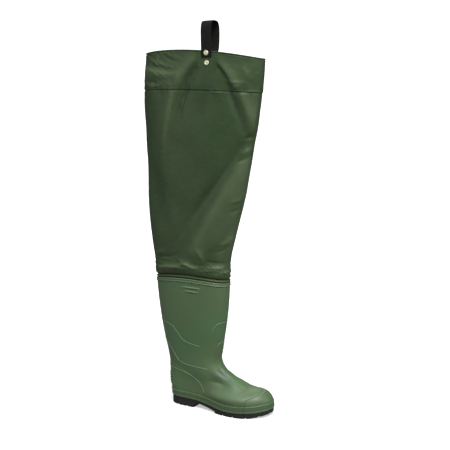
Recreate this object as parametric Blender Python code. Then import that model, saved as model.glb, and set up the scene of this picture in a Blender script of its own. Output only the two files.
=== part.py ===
# Hip wader for the right foot, standing empty on its sole.
# Metres, +Z up, toe along +X, inner side of the foot along +Y.
# The origin is the middle of the heel's tread, on the floor.
# All tables below are in millimetres.
import bmesh
import bpy
import numpy as np

MM = 0.001
GAP = 0.3

# Outline of the sole, by distance along the foot.
# x, inner width factor, outer width factor, sideways shift
HEEL_X = -36.0
TOE_X = 249.0
SOLE_PLAN = np.array([
    (-36, 75.0, 75.0, 0.0),
    (-10, 61.0, 61.0, 0.0),
    (20, 46.2, 47.6, 0.0),
    (60, 36.1, 41.0, 0.0),
    (95, 34.7, 44.1, 0.0),
    (130, 43.7, 52.2, 0.0),
    (160, 54.9, 58.3, 0.0),
    (185, 64.0, 62.9, 1.0),
    (210, 73.5, 66.5, 3.0),
    (232, 84.0, 68.8, 5.0),
    (249, 85.0, 71.4, 6.0),
])
# x, height of the sole's upper edge
SOLE_EDGE = np.array([(-36, 22.8), (50, 21.6), (105, 16.4), (150, 11.8), (200, 13.4), (249, 18.7)])
# x, height of the sole's underside between the lugs
LUG_DEPTH = 4.5
SOLE_UNDER = np.array([
    (-36, 4.5), (45, 4.5), (58, 13.4), (75, 11.6), (100, 7.6), (117, 4.6), (185, 4.5), (215, 6.0), (249, 13.0),
])
# x where the tread's lugs start and end
HEEL_LUGS = ((-37, -6.0), (-1.5, 22.0), (26.5, 45.0))
TOE_LUGS = ((115.0, 138.8), (143.2, 166.8), (171.2, 199.8), (204.2, 228.8), (233.2, 250.0))
LUG_CHANNEL = 3.0
# x, height of the tread face: flat until the toe lifts
TREAD = np.array([(-37, 0.0), (185, 0.0), (205, 0.9), (228, 4.3), (250, 9.2)])

# Rings of the boot from the sole's edge to its top.
# back x, back z, front x, front z, inner half width, outer half width,
# share of the foot's outline, share of the arch scallop
BOOT_ROWS = np.array([
    (-36.0, 23.1, 248.6, 19.0, 50.6, 53.6, 1.00, 0.0),
    (-36.6, 30.5, 248.6, 27.0, 50.6, 53.6, 1.00, 0.5),
    (-37.4, 38.8, 247.6, 35.0, 50.2, 53.2, 1.00, 1.0),
    (-39.2, 47.0, 244.2, 43.5, 49.4, 52.3, 0.98, 0.9),
    (-41.0, 58.0, 237.0, 52.5, 47.2, 50.0, 0.90, 0.6),
    (-42.0, 71.0, 224.0, 60.5, 44.2, 46.8, 0.75, 0.3),
    (-42.8, 84.0, 206.0, 67.5, 41.8, 44.2, 0.55, 0.1),
    (-43.8, 96.0, 186.0, 75.0, 40.2, 42.5, 0.36, 0.0),
    (-45.0, 107.0, 166.0, 83.5, 39.3, 41.3, 0.20, 0.0),
    (-46.4, 118.0, 146.5, 94.5, 38.9, 40.6, 0.08, 0.0),
    (-48.2, 129.0, 128.0, 107.5, 39.0, 40.4, 0.00, 0.0),
    (-50.2, 141.0, 114.5, 122.0, 39.6, 40.8, 0.00, 0.0),
    (-53.6, 156.0, 109.4, 140.0, 40.6, 41.6, 0.00, 0.0),
    (-58.0, 175.0, 111.4, 164.0, 41.8, 42.6, 0.00, 0.0),
    (-63.2, 200.0, 116.6, 193.0, 43.0, 43.7, 0.00, 0.0),
    (-68.2, 228.0, 122.0, 224.0, 44.2, 44.8, 0.00, 0.0),
    (-72.6, 258.0, 126.4, 256.0, 45.3, 45.8, 0.00, 0.0),
    (-76.6, 288.0, 129.4, 287.0, 46.2, 46.6, 0.00, 0.0),
    (-79.0, 310.0, 131.0, 310.0, 46.8, 47.2, 0.00, 0.0),
    (-79.8, 328.5, 131.6, 328.5, 47.0, 47.4, 0.00, 0.0),
])
BOOT_ROUND = 2.3
BOOT_WALL = 2.3
FOXING_OUT = 2.0
FOXING_ROW = 2.0
RIM_OUT = 1.4
RIM_HIGH = 8.0
STEP_OUT = 0.9
ARCH_LIFT = 17.0
ARCH_FROM = 52.0
ARCH_TO = 116.0
TOP_LIFT_OUTER = 10.5
TOP_LIFT_INNER = 1.0
# toe cap edge: x on the ridge, how fast it runs back to the sides, and where
# it stops on the outer side
TOE_CAP_X = 228.0
TOE_CAP_BEND = 0.0165
TOE_CAP_OUTER_X = 200.5
# heel counter edge: centre x, centre z, half length, half height
COUNTER = (-36.0, 34.0, 101.0, 72.0)

# Rings of the fabric leg above the joint band.
# back x, back z, front x, front z, inner half width, outer half width
LEG_ROWS = np.array([
    (-83.0, 352.0, 133.4, 350.0, 48.6, 49.0),
    (-85.0, 372.0, 135.0, 369.0, 49.0, 49.2),
    (-89.0, 402.0, 139.0, 397.0, 49.2, 49.6),
    (-96.0, 446.0, 149.6, 438.0, 49.6, 50.4),
    (-99.4, 500.0, 163.4, 489.0, 50.0, 51.2),
    (-100.4, 556.0, 179.0, 542.0, 50.6, 52.0),
    (-101.4, 612.0, 188.6, 595.0, 51.2, 52.6),
    (-103.6, 668.0, 202.0, 648.0, 51.8, 53.2),
    (-107.2, 724.0, 213.6, 700.0, 52.4, 53.6),
    (-109.6, 774.0, 222.6, 752.0, 52.8, 54.0),
    (-107.4, 813.5, 229.6, 799.0, 53.0, 54.2),
    (-104.0, 856.0, 235.2, 838.0, 53.2, 54.4),
    (-99.0, 903.0, 237.4, 877.0, 53.4, 54.6),
])
LEG_ROUND = 2.2
LEG_WALL = 1.0
HEM_ROW = 10.0
HEM_OUT = 0.8
COLLAR_LIFT_OUTER = 12.5
COLLAR_LIFT_INNER = -6.0
BAND_HIGH = 8.5
BAND_OUT = 1.4

# Main folds of the fabric, placed on the outer or inner side of the leg.
# side, x and z of one end, x and z of the other, half width, height
LEG_FOLDS = (
    (-1, 104.0, 855.0, 40.0, 700.0, 13.0, 3.4),
    (-1, 118.0, 855.0, 176.0, 690.0, 13.0, 3.0),
    (-1, 111.0, 840.0, 110.0, 720.0, 18.0, -3.2),
    (-1, 205.0, 690.0, 60.0, 560.0, 17.0, 4.6),
    (-1, 60.0, 560.0, -50.0, 400.0, 16.0, 4.2),
    (-1, 160.0, 600.0, 20.0, 450.0, 13.0, -3.8),
    (-1, -70.0, 660.0, 10.0, 520.0, 14.0, -3.0),
    (-1, 140.0, 470.0, 40.0, 395.0, 10.0, 3.2),
    (-1, 120.0, 372.0, 40.0, 362.0, 6.0, 1.8),
    (1, 150.0, 800.0, 40.0, 640.0, 18.0, 3.6),
    (1, 20.0, 760.0, -40.0, 600.0, 18.0, -3.2),
    (1, 130.0, 600.0, -30.0, 500.0, 16.0, 4.0),
    (1, 90.0, 480.0, -20.0, 410.0, 12.0, -3.0),
    (1, 110.0, 420.0, 10.0, 380.0, 9.0, 2.6),
)

# Hanging loop and its two rivets, at one place on the collar.
STRAP_X = 111.0
STRAP_WIDE = 28.0
STRAP_THICK = 1.7
UPPER_RIVET_Z = 894.0
LOWER_RIVET_Z = 870.8
# distance inwards from the fabric's outer face, height above the upper rivet
STRAP_PATH = np.array([
    (-1.15, -10.4), (-1.15, 0.0), (-1.15, 9.0), (-1.5, 22.0), (-1.6, 38.0), (-1.3, 55.0), (1.0, 67.0),
    (7.4, 74.6), (20.0, 76.4), (33.0, 75.0), (39.8, 68.0), (42.4, 57.0), (42.2, 42.0), (41.0, 28.0),
    (39.0, 15.0), (35.4, 6.0), (27.6, -2.5), (17.0, -9.0), (7.8, -12.8), (3.7, -15.2), (3.15, -17.6),
    (3.15, -23.0), (3.15, -28.0), (3.15, -34.0),
])
RIVET_CAP = 6.2
RIVET_DOME = 2.4
RIVET_SHANK = 2.0
RIVET_HOLE = 2.3
RIVET_WASHER = 4.2
RIVET_SIDES = 20

INSOLE_INSET = 5.2
INSOLE_THICK = 4.2

COLUMNS = 48
SOLE_POINTS = 72


def curve_table(table, at):
    # Cubic through the rows of a table, with slopes that never overshoot.
    x = table[:, 0]
    y = table[:, 1:]
    step = np.diff(x)[:, None]
    rise = np.diff(y, axis=0) / step
    slope = np.zeros_like(y)
    before = rise[:-1]
    after = rise[1:]
    same = before * after > 0
    both = np.where(same, before + after, 1.0)
    slope[1:-1] = np.where(same, 2 * before * after / both, 0.0)
    slope[0] = rise[0]
    slope[-1] = rise[-1]
    at = np.clip(np.asarray(at, float), x[0], x[-1])
    cell = np.clip(np.searchsorted(x, at, side="right") - 1, 0, len(x) - 2)
    wide = step[cell]
    s = ((at - x[cell]) / wide[..., 0])[..., None]
    first = y[cell] * (1 + 2 * s) * (1 - s) ** 2
    last = y[cell + 1] * s ** 2 * (3 - 2 * s)
    bend = wide * (slope[cell] * s * (1 - s) ** 2 - slope[cell + 1] * s ** 2 * (1 - s))
    return first + last + bend


def curve_rows(rows, at):
    # The same cubic, where the row number is the distance.
    table = np.column_stack([np.arange(len(rows)), rows])
    return curve_table(table, at)


def smooth(value):
    value = np.clip(value, 0.0, 1.0)
    return value * value * (3 - 2 * value)


def outline(turn, inset=0.0):
    # Plan of the sole: turn 0 is the toe, a quarter turn the inner side.
    middle = (TOE_X + HEEL_X) / 2
    half = (TOE_X - HEEL_X) / 2
    x = middle + half * np.cos(turn)
    plan = curve_table(SOLE_PLAN, x)
    side = np.where(np.sin(turn) > 0, plan[..., 0], plan[..., 1])
    y = plan[..., 2] + side * np.sin(turn)
    if inset:
        small = 1e-3
        ahead = np.stack(outline(turn + small), -1)
        behind = np.stack(outline(turn - small), -1)
        along = ahead - behind
        along /= np.linalg.norm(along, axis=-1, keepdims=True)
        x = x - inset * along[..., 1]
        y = y + inset * along[..., 0]
    return x, y


def sole_edge(x):
    return curve_table(SOLE_EDGE, x)[..., 0]


def side_share(turn, inner, outer):
    # inner or outer value at the sides, nothing at the toe and heel
    return np.where(np.sin(turn) > 0, inner, outer) * np.sin(turn) ** 2


def round_side(turn, power):
    # Rounded-oblong width: (1 - |cos|^n)^(1/n) with the sign of the side.
    return np.sign(np.sin(turn)) * (1 - np.abs(np.cos(turn)) ** power) ** (1 / power)


def boot_base(row, turn):
    # Smooth outer face of the boot without its steps.
    row, turn = np.broadcast_arrays(np.asarray(row, float), np.asarray(turn, float))
    ring = curve_rows(BOOT_ROWS, row)
    back_x, back_z, front_x, front_z, inner, outer, share, scallop = np.moveaxis(ring, -1, 0)
    along = (1 + np.cos(turn)) / 2
    x = back_x + (front_x - back_x) * along
    plan_x, plan_y = outline(turn)
    shift = curve_table(SOLE_PLAN, plan_x)[..., 2]
    foot = np.where(np.sin(turn) > 0, plan_y / 50.9, plan_y / 54.1)
    wide = share * foot + (1 - share) * round_side(turn, BOOT_ROUND)
    y = np.where(np.sin(turn) > 0, inner, outer) * wide
    y = y + shift * (1 - share) * smooth(1 - row / 9.0)
    z = back_z + (front_z - back_z) * along
    dip = sole_edge(plan_x) - sole_edge(HEEL_X) * (1 - along) - sole_edge(TOE_X) * along
    z = z + dip * share
    arch = np.clip((x - ARCH_FROM) / (ARCH_TO - ARCH_FROM), 0, 1)
    arch = np.sin(np.pi * arch) ** 2 * smooth(np.sin(turn) * 3)
    z = z + ARCH_LIFT * arch * scallop
    last = len(BOOT_ROWS) - 1
    z = z + side_share(turn, TOP_LIFT_INNER, TOP_LIFT_OUTER) * smooth((row - last + 4) / 4)
    return np.stack([x, y, z], -1)


def face_normals(surface, row, turn):
    # Outward directions of a surface function by small steps.
    row, turn = np.broadcast_arrays(np.asarray(row, float), np.asarray(turn, float))
    small = 1e-3
    around = surface(row, turn + small) - surface(row, turn - small)
    up = surface(row + small, turn) - surface(row - small, turn)
    normal = np.cross(around, up)
    return normal / np.linalg.norm(normal, axis=-1, keepdims=True)


def boot_relief(point):
    # Height of the toe cap and of the heel counter above the base.
    x, y, z = np.moveaxis(point, -1, 0)
    edge = TOE_CAP_X - TOE_CAP_BEND * y ** 2
    edge = np.where(y < 0, np.maximum(edge, TOE_CAP_OUTER_X), edge)
    toe = smooth((x - edge) / 5.0 + 0.5)
    centre_x, centre_z, half_x, half_z = COUNTER
    reach = np.sqrt(((x - centre_x) / half_x) ** 2 + ((z - centre_z) / half_z) ** 2)
    heel = smooth((1 - reach) * 12 + 0.5)
    return STEP_OUT * np.maximum(toe, heel)


def boot_outer(row, turn, out):
    point = boot_base(row, turn)
    normal = face_normals(boot_base, row, turn)
    return point + normal * out[..., None] if np.ndim(out) else point + normal * out


def grid_faces(rows, columns, first=0):
    # Quads between neighbouring rings, closed around.
    faces = []
    for row in range(rows - 1):
        for column in range(columns):
            after = (column + 1) % columns
            low = first + row * columns
            faces.append((low + column, low + after, low + columns + after, low + columns + column))
    return faces


def ring_join(big, small):
    # Fill between two rings where the first may have twice the points.
    faces = []
    ratio = len(big) // len(small)
    for index, corner in enumerate(small):
        after = small[(index + 1) % len(small)]
        chain = [big[(index * ratio + k) % len(big)] for k in range(ratio + 1)]
        faces.append(tuple(chain) + (after, corner))
    return faces


def finish_mesh(name, points, faces, colour, rough, flat=False):
    mesh = bpy.data.meshes.new(name)
    mesh.from_pydata([tuple(p) for p in np.asarray(points) * MM], [], faces)
    work = bmesh.new()
    work.from_mesh(mesh)
    bmesh.ops.recalc_face_normals(work, faces=work.faces[:])
    bmesh.ops.triangulate(work, faces=[f for f in work.faces if len(f.verts) > 3])
    for face in work.faces:
        face.smooth = not flat
    work.to_mesh(mesh)
    work.free()
    return finish_object(name, mesh, colour, rough)


def finish_object(name, mesh, colour, rough):
    item = bpy.data.objects.new(name, mesh)
    bpy.context.scene.collection.objects.link(item)
    material = bpy.data.materials.new(name + "_material")
    material.use_nodes = True
    shader = material.node_tree.nodes["Principled BSDF"]
    shader.inputs["Base Color"].default_value = (*colour, 1.0)
    shader.inputs["Roughness"].default_value = rough
    mesh.materials.append(material)
    return item


def tube_solid(outer, inner):
    # Closed wall between an outer and an inner grid of rings.
    rows, columns = outer.shape[:2]
    in_rows, in_columns = inner.shape[:2]
    points = np.concatenate([outer.reshape(-1, 3), inner.reshape(-1, 3)])
    faces = grid_faces(rows, columns)
    first = rows * columns
    faces += [tuple(reversed(f)) for f in grid_faces(in_rows, in_columns, first)]
    bottom = list(range(columns))
    top = list(range((rows - 1) * columns, rows * columns))
    in_bottom = [first + k for k in range(in_columns)]
    in_top = [first + (in_rows - 1) * in_columns + k for k in range(in_columns)]
    faces += ring_join(bottom, in_bottom)
    faces += [tuple(reversed(f)) for f in ring_join(top, in_top)]
    return points, faces


def make_boot():
    last = len(BOOT_ROWS) - 1.0
    rim = RIM_HIGH / (BOOT_ROWS[-1, 1] - BOOT_ROWS[-2, 1])
    rows = [0.0, 0.9, FOXING_ROW - 0.12, FOXING_ROW, FOXING_ROW + 0.16]
    rows += [2.7, 3.4, 4.0, 4.5, 5.0, 5.5, 6.0, 6.5, 7.0, 7.5, 8.0, 8.6, 9.2, 9.8, 10.4]
    rows += [11.0, 11.5, 12.0, 12.6, 13.3, 14.1, 15.0, 16.0, 17.0, 18.0]
    rows += [last - rim - 0.06, last - rim, last]
    rows = np.array(rows)[:, None]
    turn = np.linspace(0, 2 * np.pi, COLUMNS, endpoint=False)[None, :]
    base = boot_base(rows, turn)
    out = boot_relief(base) * (rows > FOXING_ROW)
    out = out + FOXING_OUT * (rows < FOXING_ROW - 0.06)
    out = out + 0.6 * FOXING_OUT * (np.abs(rows - FOXING_ROW) < 0.01)
    out = out + RIM_OUT * (rows > last - rim - 0.03)
    outer = boot_outer(rows, turn, out)
    in_rows = np.array([0, 1.2, 2.6, 4, 5, 6, 7, 8, 9, 10, 11, 12.2, 14, 16, 18, last])
    inner = boot_outer(in_rows[:, None], turn, -BOOT_WALL)
    points, faces = tube_solid(outer, inner)
    return finish_mesh("boot_upper", points, faces, (0.10, 0.17, 0.09), 0.55)


def boot_top(turn, out, above):
    # Ring at the boot's top, moved outwards and up or down.
    last = len(BOOT_ROWS) - 1.0
    down = min(above, 0.0) / (BOOT_ROWS[-1, 1] - BOOT_ROWS[-2, 1])
    row = np.full_like(turn, last + down)
    point = boot_outer(row, turn, out)
    point[..., 2] = boot_base(np.full_like(turn, last), turn)[..., 2] + above
    return point


def make_band():
    turn = np.linspace(0, 2 * np.pi, COLUMNS, endpoint=False)
    low = GAP
    high = GAP + BAND_HIGH
    outer = np.stack([
        boot_top(turn, BAND_OUT - 0.5, low),
        boot_top(turn, BAND_OUT, low + 1.2),
        boot_top(turn, BAND_OUT, high - 1.2),
        boot_top(turn, BAND_OUT - 0.5, high),
    ])
    inner = np.stack([boot_top(turn, -BOOT_WALL, low), boot_top(turn, -BOOT_WALL, high)])
    points, faces = tube_solid(outer, inner)
    return finish_mesh("joint_band", points, faces, (0.06, 0.10, 0.05), 0.6)


def fold_height(point, turn):
    # Sum of soft ridges and troughs, each along its own line.
    x, y, z = np.moveaxis(point, -1, 0)
    total = np.zeros_like(x)
    for side, x0, z0, x1, z1, wide, high in LEG_FOLDS:
        line = np.array([x1 - x0, z1 - z0])
        length = np.hypot(*line)
        line = line / length
        along = ((x - x0) * line[0] + (z - z0) * line[1]) / length
        off = (x - x0) * line[1] - (z - z0) * line[0]
        ends = smooth(along * 4 + 0.6) * smooth((1 - along) * 4 + 0.6)
        face = smooth(side * np.sin(turn) * 2.5)
        total = total + high * np.exp(-(off / wide) ** 2) * ends * face
    return total


def leg_base(row, turn):
    row, turn = np.broadcast_arrays(np.asarray(row, float), np.asarray(turn, float))
    ring = curve_rows(LEG_ROWS, row)
    back_x, back_z, front_x, front_z, inner, outer = np.moveaxis(ring, -1, 0)
    along = (1 + np.cos(turn)) / 2
    x = back_x + (front_x - back_x) * along
    y = np.where(np.sin(turn) > 0, inner, outer) * round_side(turn, LEG_ROUND)
    z = back_z + (front_z - back_z) * along
    last = len(LEG_ROWS) - 1
    lift = side_share(turn, COLLAR_LIFT_INNER, COLLAR_LIFT_OUTER)
    z = z + lift * smooth((row - last + 3) / 3)
    z = z + side_share(turn, TOP_LIFT_INNER, TOP_LIFT_OUTER) * smooth(1 - row / 2)
    return np.stack([x, y, z], -1)


def strap_mask(point):
    # nothing folds where the loop and its rivets lie
    x, y, z = np.moveaxis(point, -1, 0)
    near = smooth((z - 835) / 20) * smooth((45 - np.abs(x - STRAP_X)) / 15) * (y < 0)
    return 1 - near


def leg_outer(row, turn, out):
    base = leg_base(row, turn)
    normal = face_normals(leg_base, row, turn)
    fold = fold_height(base, turn) * strap_mask(base)
    return base + normal * (fold + out)[..., None]


def make_leg():
    turn = np.linspace(0, 2 * np.pi, COLUMNS, endpoint=False)
    tuck = -BOOT_WALL - 0.45
    low_rows = ((tuck, -14.0), (tuck, -4.0), (tuck, GAP + BAND_HIGH + 0.5), (0.0, GAP + BAND_HIGH + 2.8),
                (2.0, GAP + BAND_HIGH + 6.0))
    low_outer = [boot_top(turn, out, above) for out, above in low_rows]
    low_inner = [boot_top(turn, out - LEG_WALL, above + 0.3 * k) for k, (out, above) in enumerate(low_rows)]
    for k in (3, 4):
        low_inner[k] = boot_top(turn, low_rows[k][0] - LEG_WALL, low_rows[k][1] + 0.9)
    rows = [0, 0.7, 1.4, 2.0, 2.6, 3.2, 3.8, 4.4, 5.0, 5.6, 6.2, 6.9, 7.6, 8.4, 9.2]
    rows += [HEM_ROW - 0.04, HEM_ROW, 10.7, 11.3, 12.0]
    rows = np.array(rows)[:, None]
    out = HEM_OUT * (rows > HEM_ROW - 0.02) * np.ones_like(turn)
    outer = leg_outer(rows, turn[None, :], out)
    inner = leg_outer(rows, turn[None, :], -LEG_WALL + 0 * out)
    outer = np.concatenate([np.stack(low_outer), outer])
    inner = np.concatenate([np.stack(low_inner), inner])
    points, faces = tube_solid(outer, inner)
    return finish_mesh("leg", points, faces, (0.035, 0.055, 0.03), 0.7)


def strap_frame():
    # Place and directions of the fabric's outer face under the loop.
    turns = np.linspace(np.pi, 2 * np.pi, 2001)
    row = np.full_like(turns, 11.6)
    surface = leg_outer(row, turns, np.full_like(turns, HEM_OUT))
    nearest = np.argmin(np.abs(surface[:, 0] - STRAP_X))
    place = surface[nearest]
    normal = face_normals(leg_base, 11.6, turns[nearest])
    normal[2] = 0
    normal /= np.linalg.norm(normal)
    return place, normal


def dense_path(path, count):
    # Round the path by cubic steps through its points.
    knots = np.concatenate([[0], np.cumsum(np.hypot(*np.diff(path, axis=0).T))])
    table = np.column_stack([knots, path])
    return curve_table(table, np.linspace(0, knots[-1], count))


def make_strap(place, normal):
    side = np.array([-normal[1], normal[0], 0.0])
    up = np.array([0.0, 0.0, 1.0])
    path = dense_path(STRAP_PATH, 48)
    along = np.gradient(path, axis=0)
    along /= np.linalg.norm(along, axis=1, keepdims=True)
    cross = np.column_stack([along[:, 1], -along[:, 0]])
    centre = np.array([place[0], place[1], UPPER_RIVET_Z])
    points = []
    for wide, thick in ((-1, -1), (1, -1), (1, 1), (-1, 1)):
        spot = path + cross * thick * STRAP_THICK / 2
        points.append(centre - normal * spot[:, :1] + up * spot[:, 1:] + side * wide * STRAP_WIDE / 2)
    ring = np.stack(points, 1)
    faces = grid_faces(len(path), 4)
    faces.append((3, 2, 1, 0))
    end = (len(path) - 1) * 4
    faces.append((end, end + 1, end + 2, end + 3))
    return finish_mesh("hanger_loop", ring.reshape(-1, 3), faces, (0.02, 0.02, 0.02), 0.8)


def turned_points(profile, centre, axis):
    # Solid of revolution; the first and last profile points lie on the axis.
    turn = np.linspace(0, 2 * np.pi, RIVET_SIDES, endpoint=False)
    first = np.cross(axis, (0.0, 0.0, 1.0))
    first /= np.linalg.norm(first)
    second = np.cross(axis, first)
    round_turn = np.cos(turn)[:, None] * first + np.sin(turn)[:, None] * second
    points = [centre + axis * profile[0][1]]
    for radius, height in profile[1:-1]:
        points.extend(centre + axis * height + round_turn * radius)
    points.append(centre + axis * profile[-1][1])
    rings = len(profile) - 2
    faces = grid_faces(rings, RIVET_SIDES, 1)
    end = len(points) - 1
    for k in range(RIVET_SIDES):
        after = (k + 1) % RIVET_SIDES
        faces.append((0, 1 + after, 1 + k))
        low = 1 + (rings - 1) * RIVET_SIDES
        faces.append((end, low + k, low + after))
    return points, faces


def make_rivet(name, centre, normal, seat, back):
    # seat: face under the cap; back: face under the washer, both along the normal
    profile = [(0.0, seat + RIVET_DOME)]
    for k in (1, 2, 3):
        lean = k / 4 * np.pi / 2
        profile.append((RIVET_CAP * np.sin(lean), seat + 0.5 + (RIVET_DOME - 0.5) * np.cos(lean)))
    profile += [(RIVET_CAP, seat + 0.5), (RIVET_CAP - 0.3, seat), (RIVET_SHANK, seat)]
    profile += [(RIVET_SHANK, back), (RIVET_WASHER, back), (RIVET_WASHER, back - 1.0), (0.0, back - 1.2)]
    points, faces = turned_points(profile, centre, normal)
    return finish_mesh(name, points, faces, (0.62, 0.60, 0.42), 0.35)


def drill(item, centre, normal):
    # Clearance hole for a rivet's shank.
    reach = 12.0
    profile = [(0.0, reach), (RIVET_HOLE, reach), (RIVET_HOLE, -reach), (0.0, -reach)]
    points, faces = turned_points(profile, centre, normal)
    cutter = finish_mesh("drill_" + item.name, points, faces, (0.5, 0.5, 0.5), 0.5, flat=True)
    cutter.hide_render = True
    cutter.display_type = "WIRE"
    cut = item.modifiers.new("rivet_hole", "BOOLEAN")
    cut.operation = "DIFFERENCE"
    cut.solver = "EXACT"
    cut.object = cutter
    cutter.hide_viewport = False
    return cutter


def make_outsole():
    turn = np.linspace(0, 2 * np.pi, SOLE_POINTS, endpoint=False)
    x, y = outline(turn)
    work = bmesh.new()
    loop = [work.verts.new((px, py, 0.0)) for px, py in zip(x, y)]
    work.faces.new(loop)
    edges = [value for lug in HEEL_LUGS + TOE_LUGS for value in lug]
    cuts = edges + [52.0, 58.0, 66.0, 75.0, 88.0, 100.0, 108.0, 155.0, 185.0, 194.0, 212.0, 220.0, 241.0]
    for value in sorted(cuts):
        if HEEL_X + 1 < value < TOE_X - 1:
            parts = work.verts[:] + work.edges[:] + work.faces[:]
            bmesh.ops.bisect_plane(work, geom=parts, dist=1e-5, plane_co=(value, 0, 0), plane_no=(1, 0, 0))
    for value in (-LUG_CHANNEL, LUG_CHANNEL):
        parts = work.verts[:] + work.edges[:] + work.faces[:]
        bmesh.ops.bisect_plane(work, geom=parts, dist=1e-5, plane_co=(0, value, 0), plane_no=(0, 1, 0))
    work.verts.index_update()
    flat = np.array([v.co[:] for v in work.verts])
    faces = [tuple(v.index for v in f.verts) for f in work.faces]
    rim = [tuple(v.index for v in e.verts) for e in work.edges if e.is_boundary]
    work.free()
    count = len(flat)
    low = flat.copy()
    low[:, 2] = curve_table(SOLE_UNDER, flat[:, 0])[:, 0]
    high = flat.copy()
    high[:, 2] = sole_edge(flat[:, 0])
    tread = flat.copy()
    tread[:, 2] = curve_table(TREAD, flat[:, 0])[:, 0]
    lugs = []
    for face in faces:
        centre = flat[list(face)].mean(axis=0)
        heel = any(a < centre[0] < b for a, b in HEEL_LUGS)
        front = any(a < centre[0] < b for a, b in TOE_LUGS)
        if heel or (front and abs(centre[1]) > LUG_CHANNEL):
            lugs.append(face)
    solid = [tuple(count + k for k in f) for f in faces]
    solid += [f for f in faces if f not in lugs]
    solid += [tuple(2 * count + k for k in f) for f in lugs]
    sides = {}
    for face in lugs:
        for a, b in zip(face, face[1:] + face[:1]):
            key = (min(a, b), max(a, b))
            sides[key] = sides.get(key, 0) + 1
    solid += [(a, b, 2 * count + b, 2 * count + a) for (a, b), used in sides.items() if used == 1]
    solid += [(a, b, count + b, count + a) for a, b in rim]
    points = np.concatenate([low, high, tread])
    used = sorted({k for f in solid for k in f})
    renumber = {old: new for new, old in enumerate(used)}
    solid = [tuple(renumber[k] for k in f) for f in solid]
    return finish_mesh("outsole", points[used], solid, (0.03, 0.03, 0.03), 0.75, flat=True)


def make_insole():
    turn = np.linspace(0, 2 * np.pi, 48, endpoint=False)
    rings = []
    for lift in (GAP, GAP + INSOLE_THICK):
        for share in (0.5, 1.0):
            x, y = outline(turn, INSOLE_INSET)
            middle = curve_table(SOLE_PLAN, x)[..., 2]
            spine = np.clip(x, HEEL_X + 45, TOE_X - 50)
            px = spine + (x - spine) * share
            py = middle + (y - middle) * share
            rings.append(np.column_stack([px, py, sole_edge(px) + lift]))
    stack = np.stack(rings[:2] + rings[:1:-1])
    faces = grid_faces(4, 48)
    faces += strip_fill([k for k in range(48)])
    faces += [tuple(reversed(f)) for f in strip_fill([3 * 48 + k for k in range(48)])]
    return finish_mesh("insole", stack.reshape(-1, 3), faces, (0.12, 0.13, 0.11), 0.9)


def strip_fill(ring):
    # Quads across a loop, from one side to the other.
    faces = []
    count = len(ring)
    for k in range(1, count // 2 - 1):
        faces.append((ring[k], ring[k + 1], ring[count - k - 1], ring[count - k]))
    faces.append((ring[0], ring[1], ring[count - 1]))
    faces.append((ring[count // 2], ring[count // 2 + 1], ring[count // 2 - 1]))
    return faces


def main():
    for item in list(bpy.data.objects):
        bpy.data.objects.remove(item)
    make_outsole()
    make_insole()
    make_boot()
    make_band()
    leg = make_leg()
    place, normal = strap_frame()
    loop = make_strap(place, normal)
    upper = np.array([place[0], place[1], UPPER_RIVET_Z])
    lower = np.array([place[0], place[1], LOWER_RIVET_Z])
    wall = HEM_OUT + LEG_WALL
    inner_face = -(3.15 + STRAP_THICK / 2)
    make_rivet("rivet_upper", upper, normal, 1.15 + STRAP_THICK / 2 + 0.2, -wall - 0.25)
    make_rivet("rivet_lower", lower, normal, 0.2, inner_face - 0.2)
    for item in (leg, loop):
        for spot in (upper, lower):
            drill(item, spot, normal)


main()
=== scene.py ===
import math

import bmesh
import bpy
import numpy as np
from mathutils import Matrix, Vector


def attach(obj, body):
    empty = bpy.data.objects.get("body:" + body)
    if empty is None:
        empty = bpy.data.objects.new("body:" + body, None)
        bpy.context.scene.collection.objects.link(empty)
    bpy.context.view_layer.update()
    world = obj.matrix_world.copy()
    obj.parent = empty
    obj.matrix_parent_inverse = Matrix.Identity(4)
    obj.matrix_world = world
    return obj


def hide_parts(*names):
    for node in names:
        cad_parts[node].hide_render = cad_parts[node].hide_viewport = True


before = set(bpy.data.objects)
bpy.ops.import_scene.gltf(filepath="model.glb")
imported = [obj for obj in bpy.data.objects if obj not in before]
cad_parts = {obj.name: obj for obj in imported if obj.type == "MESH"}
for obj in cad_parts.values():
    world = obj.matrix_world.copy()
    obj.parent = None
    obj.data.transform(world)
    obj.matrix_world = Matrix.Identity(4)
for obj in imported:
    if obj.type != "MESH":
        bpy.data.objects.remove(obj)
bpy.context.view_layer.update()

# Hip wader for the right foot: green moulded boot, soft fabric leg, webbing loop.
# Toe along +X, inner side along +Y. Tables are in millimetres, meshes in metres.

mm = 0.001

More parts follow.
